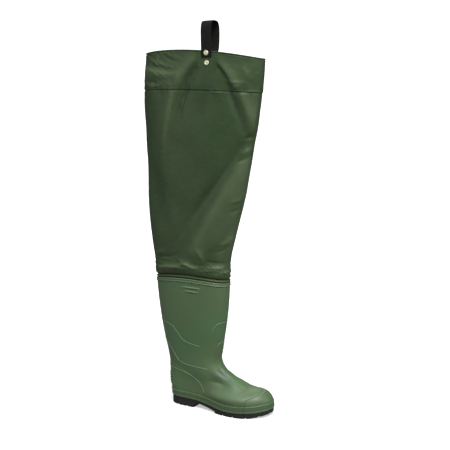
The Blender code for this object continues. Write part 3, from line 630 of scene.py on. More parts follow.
def node(tree, kind, settings=None, **inputs):
    # A node with its settings and inputs; i0 stands for the first input, other names are labels.
    item = tree.nodes.new(kind)
    for key, value in (settings or {}).items():
        setattr(item, key, value)
    for key, value in inputs.items():
        feed(tree, item.inputs[int(key[1:]) if key[1:].isdigit() else key.replace("_", " ")], value)
    return item


def mathNode(tree, operation, *values):
    # The result of one sum, product or the like.
    item = node(tree, "ShaderNodeMath", {"operation": operation})
    for socket, value in zip(item.inputs, values):
        feed(tree, socket, value)
    return item.outputs[0]


def times(tree, a, b):
    return mathNode(tree, "MULTIPLY", a, b)


def mixColour(tree, factor, a, b):
    # Colour a where the factor is 0, colour b where it is 1.
    return node(tree, "ShaderNodeMix", {"data_type": "RGBA"}, i0=factor, i6=a, i7=b).outputs[2]


def mapRange(tree, value, low, high, toLow=0.0, toHigh=1.0):
    # Eases from toLow to toHigh while the value goes from low to high.
    return node(tree, "ShaderNodeMapRange", {"interpolation_type": "SMOOTHSTEP"}, Value=value, From_Min=low,
                From_Max=high, To_Min=toLow, To_Max=toHigh).outputs[0]


def noise(tree, place, scale, detail, **more):
    # Cloudy noise between 0 and 1.
    return node(tree, "ShaderNodeTexNoise", Vector=place, Scale=scale, Detail=detail, **more).outputs[0]


def newGroup(name, inputs, *outputs):
    # A node group with a vector and then numbers going in, and numbers coming out.
    group = bpy.data.node_groups.new(name, "ShaderNodeTree")
    group.interface.new_socket(name="Vector", in_out="INPUT", socket_type="NodeSocketVector")
    for label, value in inputs.items():
        socket = group.interface.new_socket(name=label, in_out="INPUT", socket_type="NodeSocketFloat")
        socket.default_value = value
    for label in outputs:
        group.interface.new_socket(name=label, in_out="OUTPUT", socket_type="NodeSocketFloat")
    return group, group.nodes.new("NodeGroupInput").outputs, group.nodes.new("NodeGroupOutput").inputs


def makeDrift():
    # Slow change of tone: two sizes of cloud, each as a mask.
    group, start, end = newGroup("toneDrift", {"Large Scale": 9.0, "Small Scale": 60.0}, "Mask", "Fine Mask")
    feed(group, end[0], mapRange(group, noise(group, start[0], start[1], 3.0), 0.34, 0.66))
    feed(group, end[1], mapRange(group, noise(group, start[0], start[2], 4.0), 0.36, 0.68))
    return group


def makeGrain():
    # Moulded skin: a fine pebble over a slightly uneven face.
    group, start, end = newGroup("mouldedSkin", {"Pebble Scale": 1400.0, "Ripple Scale": 70.0}, "Height")
    pebble = node(group, "ShaderNodeTexVoronoi", Vector=start[0], Scale=start[1]).outputs[0]
    ripple = noise(group, start[0], start[2], 2.0)
    feed(group, end[0], mathNode(group, "ADD", times(group, pebble, 0.12), ripple))
    return group


def makeWeave():
    # Plain weave: the product of two sine waves along the cloth's own UV directions.
    group, start, end = newGroup("plainWeave", {"Threads Across": 1200.0, "Threads Along": 1200.0}, "Height")
    split = node(group, "ShaderNodeSeparateXYZ", i0=start[0]).outputs
    u, v = (mathNode(group, "SINE", times(group, split[k], start[k + 1])) for k in (0, 1))
    feed(group, end[0], mathNode(group, "ADD", times(group, times(group, u, v), 0.5), 0.5))
    return group


def makeDust():
    # Dry dust that gathers near the floor and thins out upwards: 1 - z / top, broken up by a cloud.
    group, start, end = newGroup("floorDust", {"Top": 0.09, "Amount": 0.25}, "Mask")
    high = node(group, "ShaderNodeSeparateXYZ", i0=start[0]).outputs[2]
    low = mathNode(group, "SUBTRACT", 1.0, mathNode(group, "DIVIDE", high, start[1]))
    cloud = mapRange(group, noise(group, start[0], 38.0, 6.0), 0.35, 0.75)
    spread = times(group, mathNode(group, "MAXIMUM", low, 0.0), cloud)
    feed(group, end[0], times(group, spread, start[2]))
    return group


def makeScuff():
    # Thin random scratches: a stretched noise cut to its narrow peaks, in two directions.
    group, start, end = newGroup("thinScuffs", {"Amount": 0.3}, "Mask")
    parts = []
    for turnAbout, scale in (((0.3, 0.2, 0.9), 360.0), ((1.1, 0.7, 0.1), 510.0)):
        place = node(group, "ShaderNodeMapping", Vector=start[0], Rotation=turnAbout, Scale=(1.0, 0.06, 0.35))
        parts.append(mapRange(group, noise(group, place.outputs[0], scale, 2.0), 0.70, 0.76))
    feed(group, end[0], times(group, mathNode(group, "MAXIMUM", *parts), start[1]))
    return group


groups = {"drift": makeDrift(), "grain": makeGrain(), "weave": makeWeave(), "dust": makeDust(),
          "scuff": makeScuff()}


def useGroup(tree, key, place, **inputs):
    # The outputs of a shared effect at the given place.
    return node(tree, "ShaderNodeGroup", {"node_tree": groups[key]}, Vector=place, **inputs).outputs


def valueAt(tree, name):
    # A number that the mesh carries per point.
    return node(tree, "ShaderNodeAttribute", {"attribute_name": name}).outputs["Fac"]


# Colours and finish of each material; rough gives one number or the range of an uneven face.
looks = {
    # The boot's and the band's pale tint is a painted highlight on raised lines and also colours their
    # scuffs.
    "boot": {"colour": (0.076, 0.154, 0.066), "drift": (0.086, 0.140, 0.060), "paleTint": (0.19, 0.285, 0.17),
             "rough": (0.43, 0.52), "dust": 0.08, "coat": 0.03},
    "band": {"colour": (0.052, 0.082, 0.034), "drift": (0.058, 0.082, 0.036), "paleTint": (0.085, 0.120, 0.058),
             "rough": (0.46, 0.55), "dust": 0.0, "coat": 0.0},
    # The cloth's fold colour is a painted highlight and its hollow colour a painted shade.
    "fabric": {"colour": (0.034, 0.067, 0.024), "drift": (0.041, 0.071, 0.027), "fold": (0.078, 0.116, 0.055),
               "hollow": (0.020, 0.034, 0.015), "dirt": (0.2, 0.19, 0.15), "rough": (0.46, 0.58),
               "shine": 0.36},
    "webbing": {"colour": (0.003, 0.0035, 0.003), "thread": (0.009, 0.010, 0.009),
                "paleTint": (0.013, 0.014, 0.012), "rough": (0.66, 0.82), "shine": 0.2},
    "thread": {"colour": (0.022, 0.032, 0.018), "drift": (0.05, 0.066, 0.04), "rough": 0.7},
    "brass": {"colour": (0.80, 0.82, 0.56), "drift": (0.66, 0.68, 0.42), "paleTint": (0.8, 0.8, 0.62),
              "rough": (0.3, 0.48), "metal": 0.35},
    "tread": {"colour": (0.009, 0.010, 0.009), "drift": (0.014, 0.015, 0.013), "dirt": (0.22, 0.21, 0.18),
              "rough": (0.58, 0.74)},
    "felt": {"colour": (0.075, 0.08, 0.07), "drift": (0.13, 0.135, 0.12), "rough": 0.95},
    "dust": (0.33, 0.31, 0.26),
}


def newMaterial(name, large=None, small=None):
    # A material, its node tree and coordinates, and the two masks of its tone drift.
    material = bpy.data.materials.new(name)
    material.use_nodes = True
    tree = material.node_tree
    coords = tree.nodes.new("ShaderNodeTexCoord").outputs
    tone = useGroup(tree, "drift", coords["Object"], Large_Scale=large, Small_Scale=small) if large else None
    return material, tree, coords, tone


def finishMaterial(material, colour, rough, *layers, **fixed):
    # Feeds the shader. Each bump layer is a height, a strength and a distance in metres, one after another.
    tree = material.node_tree
    shader = tree.nodes["Principled BSDF"].inputs
    feed(tree, shader["Base Color"], colour)
    feed(tree, shader["Roughness"], rough)
    for label, value in fixed.items():
        feed(tree, shader[label.replace("_", " ")], value)
    last = None
    for height, strength, distance in layers:
        bump = node(tree, "ShaderNodeBump", Height=height, Strength=strength, Distance=distance)
        if last is not None:
            feed(tree, bump.inputs["Normal"], last)
        last = bump.outputs[0]
    if last is not None:
        feed(tree, shader["Normal"], last)
    return material


def darker(colour, share):
    # The colour times a share.
    return tuple(share * c for c in colour)


def unevenRough(tree, tone, look):
    # Roughness that follows the fine tone drift between two numbers.
    return mapRange(tree, tone[1], 0.0, 1.0, *look["rough"])


def capLine(tree, place):
    # Mask of the painted shade line and the step at the toe cap's edge, from the distance in x to x = capX -
    # capBend y^2, kept forward on the outer side.
    x, y, _ = node(tree, "ShaderNodeSeparateXYZ", i0=place).outputs
    edge = mathNode(tree, "SUBTRACT", boot["capX"] * mm, times(tree, times(tree, y, y), boot["capBend"] / mm))
    limit = times(tree, mathNode(tree, "LESS_THAN", y, 0.0), boot["capOuterX"] * mm)
    gap = mathNode(tree, "SUBTRACT", x, mathNode(tree, "MAXIMUM", edge, limit))
    away = mathNode(tree, "ABSOLUTE", mathNode(tree, "ADD", gap, 0.0008))
    return mapRange(tree, away, 0.0003, 0.0011, 1.0, 0.0), mapRange(tree, gap, -0.0009, 0.0003)


def rubberMaterial(name, look, cap=False):
    # Moulded rubber: tone drift, painted highlight on the raised lines and the vamp, paler scuffs, dust. With
    # cap, also painted shade in the sunken places, painted shade darkening the foot and a painted shade line
    # at the toe cap.
    material, tree, coords, tone = newMaterial(name, 8.0, 55.0)
    place = coords["Object"]
    skin = useGroup(tree, "grain", place, Pebble_Scale=1400.0)[0]
    scuff = useGroup(tree, "scuff", place, Amount=0.35)[0]
    dirt = useGroup(tree, "dust", place, Amount=look["dust"])[0]
    colour, paleTint = look["colour"], look["paleTint"]
    base = mixColour(tree, tone[0], colour, look["drift"])
    # Painted highlight: raised lines, the vamp and the band's ridges are mixed towards the pale tint.
    base = mixColour(tree, times(tree, valueAt(tree, "paintedLight"), 0.75), base, paleTint)
    base = mixColour(tree, times(tree, scuff, 0.5), base, paleTint)
    base = mixColour(tree, dirt, base, looks["dust"])
    layers = [(skin, 0.35, 0.0005), (scuff, 0.2, 0.0002)]
    if cap:
        # Painted shade in the hollow beside the ankle.
        base = mixColour(tree, times(tree, valueAt(tree, "ankleShade"), 0.75), base, darker(colour, 0.42))
        # Painted shade: the foot darkens below a height of about 41 mm.
        high = node(tree, "ShaderNodeSeparateXYZ", Vector=place).outputs[2]
        base = mixColour(tree, mapRange(tree, high, 0.041, 0.034, 0.0, 0.3), base, darker(colour, 0.55))
        # Painted shade: a dark line along the toe cap's step.
        line, step = capLine(tree, place)
        base = mixColour(tree, times(tree, line, 0.6), base, darker(colour, 0.35))
        layers.append((step, 0.5, 0.0006))
    uneven = mathNode(tree, "ADD", unevenRough(tree, tone, look), times(tree, dirt, 0.5))
    uneven = mathNode(tree, "ADD", uneven, times(tree, scuff, 0.12))
    return finishMaterial(material, base, uneven, *layers, Coat_Weight=look["coat"], Coat_Roughness=0.35)


def fabricMaterial(look):
    # Coated cloth: painted highlight on the folds, painted shade in the hollows, with a weave and a fine
    # crinkle.
    material, tree, coords, tone = newMaterial("coatedLegFabric", 5.0, 90.0)
    place = coords["Object"]
    weave = useGroup(tree, "weave", coords["UV"], Threads_Across=5200.0, Threads_Along=5200.0)[0]
    dirt = useGroup(tree, "dust", place, Top=0.55, Amount=0.05)[0]
    crinkle = noise(tree, place, 95.0, 5.0, Roughness=0.55)
    fold = valueAt(tree, "paintedLight")
    base = mixColour(tree, tone[0], look["colour"], look["drift"])
    # Painted highlight on the folds and painted shade in the hollows, from the cloth's painted light values.
    base = mixColour(tree, mapRange(tree, fold, 0.5, 1.0, 0.0, 0.8), base, look["fold"])
    base = mixColour(tree, mapRange(tree, fold, 0.5, 0.0, 0.0, 0.8), base, look["hollow"])
    base = mixColour(tree, dirt, base, look["dirt"])
    return finishMaterial(material, base, unevenRough(tree, tone, look),
                          (noise(tree, place, 26.0, 3.0), 0.4, 0.0012), (crinkle, 0.5, 0.0007),
                          (weave, 0.25, 0.00012), Specular_IOR_Level=look["shine"])


def webbingMaterial(look):
    # Black webbing with coarse ribs.
    material, tree, coords, tone = newMaterial("blackWebbing", 40.0, 420.0)
    weave = useGroup(tree, "weave", coords["UV"], Threads_Across=3600.0, Threads_Along=2400.0)[0]
    base = mixColour(tree, weave, look["colour"], look["thread"])
    base = mixColour(tree, times(tree, tone[1], 0.3), base, look["paleTint"])
    return finishMaterial(material, base, unevenRough(tree, tone, look), (weave, 0.9, 0.0004),
                          (tone[1], 0.3, 0.0002), Specular_IOR_Level=look["shine"])


def plainMaterial(name, look, large, small, strength, distance):
    # Thread or felt: two colours mixed by the fine drift, which also lifts the surface.
    material, tree, _, tone = newMaterial(name, large, small)
    base = mixColour(tree, tone[1], look["colour"], look["drift"])
    return finishMaterial(material, base, look["rough"], (tone[1], strength, distance))


def metalMaterial(look):
    # Pale brass, rubbed and a little scuffed.
    material, tree, coords, tone = newMaterial("paleBrassCap", 120.0, 900.0)
    scuff = useGroup(tree, "scuff", coords["Object"], Amount=0.6)[0]
    base = mixColour(tree, tone[0], look["colour"], look["drift"])
    base = mixColour(tree, scuff, base, look["paleTint"])
    return finishMaterial(material, base, unevenRough(tree, tone, look), (tone[1], 0.3, 0.0001),
                          Metallic=look["metal"])


def treadMaterial(look):
    # Black rubber with fine bars under the sole.
    material, tree, coords, tone = newMaterial("blackTreadRubber", 14.0, 120.0)
    place = coords["Object"]
    skin = useGroup(tree, "grain", place, Pebble_Scale=1100.0)[0]
    dirt = useGroup(tree, "dust", place, Top=0.02, Amount=0.07)[0]
    bars = node(tree, "ShaderNodeTexWave", {"bands_direction": "Y", "wave_profile": "TRI"}, Vector=place,
                Scale=90.0)
    facing = node(tree, "ShaderNodeSeparateXYZ", i0=coords["Normal"]).outputs[2]
    base = mixColour(tree, tone[0], look["colour"], look["drift"])
    base = mixColour(tree, dirt, base, look["dirt"])
    fine = times(tree, mapRange(tree, bars.outputs["Fac"], 0.35, 0.6), mapRange(tree, facing, -0.8, -0.95))
    return finishMaterial(material, base, unevenRough(tree, tone, look), (skin, 0.5, 0.0006),
                          (fine, 0.8, 0.0006))


bootRubber = rubberMaterial("greenBootRubber", looks["boot"], cap=True)
bandRubber = rubberMaterial("darkBandRubber", looks["band"])
legFabric = fabricMaterial(looks["fabric"])
blackWebbing = webbingMaterial(looks["webbing"])
darkThread = plainMaterial("darkThread", looks["thread"], 60.0, 1800.0, 0.4, 0.0001)
paleBrass = metalMaterial(looks["brass"])
treadRubber = treadMaterial(looks["tread"])
greyFelt = plainMaterial("greyFelt", looks["felt"], 30.0, 900.0, 0.7, 0.0006)
print("materials ready")


def bootRows():
    # Ring numbers, closer together where the foxing band ends and at the rim.
    rim = boot["rimReach"] / topStep
    steps = ((0, 1.9, 24), (1.9, 2.25, 20), (2.25, 10.5, 112), (10.5, bootLast - rim, 96))
    return np.concatenate([np.linspace(low, high, count, endpoint=False) for low, high, count in steps]
                          + [np.linspace(bootLast - rim, bootLast, 36)])


def makeBoot():
    # The outer skin carries form and relief, the inner one only the form, one wall further in.
    rows, turn = matched(bootRows()[:, None], fullTurn(boot["columns"])[None, :])
    base = bootSurface(rows, turn)
    inRows = np.linspace(0, bootLast, boot["innerRows"])[:, None]
    inTurn = fullTurn(boot["innerColumns"])[None, :]
    mesh = closedWall("bootUpper", bootSkin(rows, turn), bootSkin(inRows, inTurn, -boot["wall"]))
    foxing, down = rows / 2.0, (bootLast - rows) * topStep
    # Painted highlight on the foxing's lines, the rim's lines and the top edge.
    ridge = 0.75 * bell(foxing, 0.93, 0.05) + 0.55 * bell(foxing, 0.16, 0.06)
    ridge = ridge + 0.6 * bell(down, boot["rimHigh"] - 1.2, 1.1) + 0.6 * bell(down, 0.8, 1.0)
    # A painted highlight on the vamp's sides, and painted shade in the hollow beside the ankle.
    vampHighlight = 0.36 * bell(base[..., 0], 166, 52) * bell(base[..., 2], 54, 16)
    ankleShade = bell(base[..., 0], 119, 23) * bell(base[..., 2], 93, 19)
    inside = np.zeros(len(mesh.vertices) - rows.size)
    addValues(mesh, "paintedLight", np.append(ridge + vampHighlight * (foxing > 1), inside))
    addValues(mesh, "ankleShade", np.append(ankleShade, inside))
    return addPiece("bootUpper", mesh, bootRubber, "boot_upper", slot="boot_rubber")


def spotOnBoot(degrees, height):
    # The ring number at which the boot has the given height, for each turn.
    rows = np.linspace(2.0, bootLast, 900)
    turn = np.radians(degrees)
    return np.array([np.interp(h, bootSurface(rows, t)[..., 2], rows) for t, h in zip(turn, height)]), turn


def beadProfile(wide, high, share):
    # Half-round top with a flat foot sunk a little into the boot; share shrinks it towards its ends.
    lean = np.linspace(0, np.pi, 9)
    top = np.stack([-np.cos(lean) * wide / 2, np.sin(lean) ** 0.8 * high - 0.15], -1)
    profile = np.concatenate([top, [(wide / 2, -0.5), (-wide / 2, -0.5)]])
    scale = np.stack([0.25 + 0.75 * share, share], -1)[:, None, :]
    return profile[None] * scale - (1 - share)[:, None, None] * np.array([0, 0.35])


def makeBootLines():
    # Each line is drawn on the outer side and again mirrored; it fades out where it ends on a side.
    points, faceSets, start = [], [], 0
    for line, wide, high in bootLines.values():
        for mirror in (False, True):
            data = np.array(line, float)
            if mirror:
                data = data * (-1, 1) + (360, 0)
            length = runLength(data)[-1]
            count = max(24, int(length / boot["beadStep"]))
            row, turn = spotOnBoot(*softLine(data, length / 30, count).T)
            share = np.ones(count)
            for end, ramp in ((line[0], np.linspace(0, 1, count)), (line[-1], np.linspace(1, 0, count))):
                if end[0] not in (180, 360):
                    share = share * smooth(ramp * count / boot["beadFade"])
            normal = surfaceNormals(bootSurface, row, turn)
            grid = sweptLine(bootSkin(row, turn), normal, beadProfile(wide, high, share))
            if mirror:
                grid = grid[:, ::-1]
            points.append(grid.reshape(-1, 3))
            faceSets.append(capTube(grid, start))
            start += len(points[-1])
    quads = np.concatenate([f[0] for f in faceSets])
    ends = np.concatenate([np.concatenate(f[1:]) for f in faceSets])
    mesh = buildMesh("bootBeads", np.concatenate(points), quads, ends, turnOut=True)
    # Painted highlight: the beads are mixed far towards the pale tint.
    addValues(mesh, "paintedLight", np.full(len(mesh.vertices), 0.9))
    return addPiece("bootBeads", mesh, bootRubber, slot="boot_rubber")


def makeBand():
    # A profile with two soft ridges, turned round the boot's top; it wavers most in its middle.
    turn = fullTurn(boot["columns"])
    profile = [(-2.2, 0.5), (-2.1, 1.5), (-1.3, 2.1), (0.2, 2.5), (1.0, 3.1), (1.35, 3.8), (1.2, 4.4),
               (1.35, 5.0), (1.1, 5.7), (0.5, 6.2), (-0.9, 6.7), (-1.9, 7.3), (-2.2, leg["bandHigh"])]
    grid = np.stack([bootTop(turn, out, above) for out, above in profile])
    rows, columns = grid.shape[:2]
    step = np.arange(rows)
    waver = np.minimum(1.0, step / 2.0) * np.minimum(1.0, (rows - 1 - step) / 2.0)
    grid[..., 2] += waves(grid, 60.0, 21) * 0.35 * waver[:, None]
    low = np.arange(columns)
    top = low + (rows - 1) * columns
    mesh = buildMesh("jointBand", grid.reshape(-1, 3), gridQuads(rows, columns),
                     np.stack([low, top, np.roll(top, -1), np.roll(low, -1)], -1))
    # Painted highlight on the band's ridges.
    addValues(mesh, "paintedLight", np.repeat([0, 0, 0, 0.2, 0.5, 0.3, 0.1, 0.3, 0.4, 0.1, 0, 0, 0], columns))
    return addPiece("jointBand", mesh, bandRubber, "joint_band", slot="band_rubber")


makeBoot()
makeBootLines()
makeBand()
print("boot ready")


def tuckedRings(columns, out):
    # Rings of cloth from inside the boot's top up and out over the joint band.
    above = 0.3 + leg["bandHigh"]
    tuck = -boot["wall"] - 0.45
    rings = ((tuck, -14.0), (tuck, -4.0), (tuck, above - 1.5), (tuck + 0.4, above + 0.3), (-0.9, above + 1.4),
             (0.8, above + 2.6), (2.2, above + 4.6))
    return np.stack([bootTop(fullTurn(columns), o + out, a) for o, a in rings])


def makeLeg():
    # Tucked rings, the free cloth with its folds and a rolled collar; the inner skin follows more coarsely.
    rows = np.unique(np.concatenate([np.linspace(*step) for step in leg["rowSteps"]]))
    rows, turn = matched(rows[:, None], fullTurn(leg["columns"])[None, :])
    low = tuckedRings(leg["columns"], 0.0)
    base = legSurface(rows, turn)
    relief = legRelief(base, rows, turn)
    normal = surfaceNormals(legSurface, rows, turn)
    free = base + normal * relief[..., None]
    roll = np.stack([free[-1] + normal[-1] * out + np.array([0, 0, up])
                     for out, up in ((-0.25, 0.8), (-0.8, 1.15), (-1.4, 0.8))])
    outer = np.concatenate([low, free, roll])
    thick = leg["wall"] + leg["hemOut"] * smooth((rows - leg["hemRow"]) / 0.03 + 0.5)
    pick = np.unique(np.linspace(0, len(rows) - 1, leg["innerRows"]).astype(int))
    third = np.arange(0, leg["columns"], leg["columns"] // leg["innerColumns"])
    inside = (free - normal * thick[..., None])[pick][:, third]
    inner = np.concatenate([tuckedRings(leg["innerColumns"], -leg["wall"]), inside])
    mesh = closedWall("legFabric", outer, inner)
    # Painted light and shade follow the folds' height; painted highlights lie on the front fold and the back
    # half of the hem.
    strength = relief / 14 + 0.34 * smooth((np.cos(turn) - 0.62) / 0.3) * bell(base[..., 2], 440, 120)
    strength = strength + 0.26 * bell(base[..., 0], -34, 70) * smooth((rows - leg["hemRow"]) / 0.5)
    paintedLight = np.full(len(mesh.vertices), 0.5)
    first = low.shape[0] * low.shape[1]
    paintedLight[first:first + relief.size] += np.clip(strength, -0.5, 0.5).ravel()
    addValues(mesh, "paintedLight", paintedLight)
    addClothUv(mesh, outer, inner)
    return addPiece("legFabric", mesh, legFabric, "leg", slot="leg_fabric")


def addUv(mesh, name, uv):
    # One pair of numbers for each face corner.
    mesh.uv_layers.new(name=name).data.foreach_set("uv", uv.astype(np.float32).ravel())


def addClothUv(mesh, outer, inner):
    # u runs around and v along the tube, both in metres of cloth.
    values = []
    for grid in (outer, inner):
        columns = grid.shape[1]
        v = np.concatenate([[0], np.cumsum(np.linalg.norm(np.diff(grid, axis=0), axis=-1).mean(axis=1))])
        u = np.arange(columns)[None, :] / columns
        values.append(np.stack(np.broadcast_arrays(u, v[:, None]), -1).reshape(-1, 2))
    uv = np.concatenate(values)[readNumbers(mesh.loops, "vertex_index")] * (leg["clothGirth"], mm)
    start, total = readNumbers(mesh.polygons, "loop_start"), readNumbers(mesh.polygons, "loop_total")
    widest = np.repeat(np.maximum.reduceat(uv[:, 0], start), total)
    # In the face that closes a ring, u goes on past its end.
    uv[:, 0] += leg["clothGirth"] * (widest - uv[:, 0] > leg["clothGirth"] / 2)
    addUv(mesh, "clothUv", uv)


stitch = {"rows": (leg["hemRow"] + 0.10, legLast - 0.15, leg["hemRow"] + 0.19), "pitch": 3.4,
          "long": 0.42, "wide": 0.5, "high": 0.55, "lift": 0.08, "strapZ": 880}


def makeStitches():
    # Short raised threads along a ring, each a squashed bead, left out under the hanging loop.
    shape = np.array([(-1, 0, 0), (-0.5, 0.55, 0.2), (-0.5, -0.55, 0.2), (-0.5, 0, 0.75), (0.5, 0.55, 0.2),
                      (0.5, -0.55, 0.2), (0.5, 0, 0.75), (1, 0, 0), (-0.5, 0, -0.6), (0.5, 0, -0.6)])
    faces = np.array([(0, 1, 3), (0, 3, 2), (0, 2, 8), (0, 8, 1), (7, 6, 4), (7, 5, 6), (7, 9, 5), (7, 4, 9),
                      (1, 4, 6), (1, 6, 3), (3, 6, 5), (3, 5, 2), (2, 5, 9), (2, 9, 8), (8, 9, 4), (8, 4, 1)])
    points = []
    for row in stitch["rows"]:
        row, turn = matched(row, np.linspace(0, 2 * np.pi, 1600))
        base = legSurface(row, turn)
        normal = surfaceNormals(legSurface, row, turn)
        line = base + normal * legRelief(base, row, turn)[:, None]
        far = runLength(line)
        count = int(far[-1] / stitch["pitch"])
        at = (np.arange(count) + 0.5) / count * far[-1]
        middle, out, ahead = (np.stack([np.interp(where, far, data[:, k]) for k in range(3)], -1)
                              for where, data in ((at, line), (at, normal), (at + 0.5, line)))
        along = unit(ahead - middle)
        across = np.cross(out, along)
        x, y, z = middle.T
        near = (np.abs(x - strap["x"]) < strap["wide"] / 2 + 1) & (y < 0) & (z > stitch["strapZ"])
        middle, out, along, across = (data[~near][:, None] for data in (middle, out, along, across))
        grid = (middle + along * shape[None, :, :1] * stitch["pitch"] * stitch["long"]
                + across * shape[None, :, 1:2] * stitch["wide"]
                + out * (shape[None, :, 2:] * stitch["high"] + stitch["lift"]))
        points.append(grid.reshape(-1, 3))
    points = np.concatenate(points)
    starts = np.arange(0, len(points), len(shape))
    faces = (faces[None] + starts[:, None, None]).reshape(-1, 3)
    mesh = buildMesh("hemStitches", points, faces, turnOut=True)
    return addPiece("hemStitches", mesh, darkThread, slot="leg_fabric")


legPiece = makeLeg()
stitches = makeStitches()
print("leg ready")


def strapFrame():
    # The spot on the collar under the loop's middle, and the level direction away from the cloth there.
    turns = np.linspace(np.pi, 2 * np.pi, 2001)
    surface = legSurface(strap["row"], turns)
    nearest = np.argmin(np.abs(surface[:, 0] - strap["x"]))
    normal = surfaceNormals(legSurface, strap["row"], turns[nearest])
    place = surface[nearest] + normal * leg["hemOut"]
    normal[2] = 0
    return place, unit(normal)


def strapProfile(lean, wide, thick):
    # Flat webbing with rounded edges: |cos|^0.28 times half the width, |sin|^0.55 times half the thickness.
    return np.stack([np.sign(np.cos(lean)) * np.abs(np.cos(lean)) ** 0.28 * wide / 2,
                     np.sign(np.sin(lean)) * np.abs(np.sin(lean)) ** 0.55 * thick / 2], -1)


def makeStrap(place, normal):
    # The profile carried along the loop's path, in the plane of the outward and the upright direction.
    side = np.array([-normal[1], normal[0], 0.0])
    line = softLine(strap["path"], strap["soft"], strap["samples"])
    along = unit(np.gradient(line, axis=0))
    cross = np.column_stack([along[:, 1], -along[:, 0]])
    profile = strapProfile(fullTurn(strap["profilePoints"]), strap["wide"], strap["thick"])
    centre = np.array([place[0], place[1], strap["upperZ"]])
    spot = line[:, None, :] + cross[:, None, :] * profile[None, :, 1:]
    points = centre - normal * spot[..., :1] + np.array([0, 0, 1.0]) * spot[..., 1:]
    points = points + side * profile[None, :, :1]
    rows, columns = points.shape[:2]
    mesh = buildMesh("hangerLoop", points.reshape(-1, 3), *capTube(points), turnOut=True)
    u = np.tile(profile[:, 0] * mm, rows)
    v = np.repeat(np.linspace(0, runLength(strap["path"])[-1] * mm, rows), columns)
    addUv(mesh, "loopUv", np.stack([u, v], -1)[readNumbers(mesh.loops, "vertex_index")])
    return addPiece("hangerLoop", mesh, blackWebbing, "hanger_loop", slot="webbing")


# Radii of cap, shank and washer, height of the dome, points around.
rivet = {"cap": 6.2, "dome": 2.2, "shank": 1.9, "washer": 4.2, "sides": 64}


def makeRivet(name, cadNode, height, seat, back):
    # Turned cap with a rolled rim and a small dimple, shank and washer, as one closed skin.
    centre, normal = np.array([place[0], place[1], height]), outward
    cap, dome, shank, washer = (rivet[k] for k in ("cap", "dome", "shank", "washer"))
    # radius and share of the dome's height, from the dimple to the cap's edge
    top = [(0.0, 0.52), (0.7, 0.55), (1.1, 0.84), (1.7, 0.97)]
    top += [(r, 0.97 - 0.10 * ((r - 1.7) / 3.0) ** 2) for r in (2.6, 3.6, 4.4)]
    top += [(5.1, 0.80), (5.6, 0.68), (cap - 0.12, 0.45), (cap, 0.25)]
    low = [(cap - 0.1, seat + 0.15), (cap - 0.5, seat), (shank, seat), (shank, back), (washer - 0.3, back),
           (washer, back - 0.3), (washer, back - 0.8), (washer - 0.3, back - 1.05), (2.2, back - 1.1),
           (1.6, back - 0.7), (0.0, back - 0.7)]
    profile = np.array([(r, seat + dome * share) for r, share in top] + low)
    first = np.cross(normal, (0.0, 0.0, 1.0))
    second = np.cross(normal, first)
    turn = fullTurn(rivet["sides"])[:, None]
    around = np.cos(turn) * first + np.sin(turn) * second
    rings = profile[1:-1]
    grid = centre + normal * rings[:, None, 1:] + around[None] * rings[:, None, :1]
    rows, columns = grid.shape[:2]
    points = np.concatenate([grid.reshape(-1, 3), centre + normal * profile[[0, -1], 1:]])
    column = np.arange(columns)
    after = (column + 1) % columns
    tip, end = np.full(columns, rows * columns), (rows - 1) * columns
    mesh = buildMesh(name, points, gridQuads(rows, columns), np.stack([tip, after, column], -1),
                     np.stack([tip + 1, column + end, after + end], -1), turnOut=True)
    return addPiece(name, mesh, paleBrass, cadNode, slot="rivet_metal")


place, outward = strapFrame()
makeStrap(place, outward)
outerFace, innerFace = (strap["path"][k, 0] for k in (0, -1))
makeRivet("rivetUpper", "rivet_upper", strap["upperZ"], -outerFace + strap["thick"] / 2 + 0.1,
          -leg["wall"] - leg["hemOut"] - 0.2)
makeRivet("rivetLower", "rivet_lower", strap["lowerZ"], 0.15, -(innerFace + strap["thick"] / 2) - 0.2)
print("loop and rivets ready")


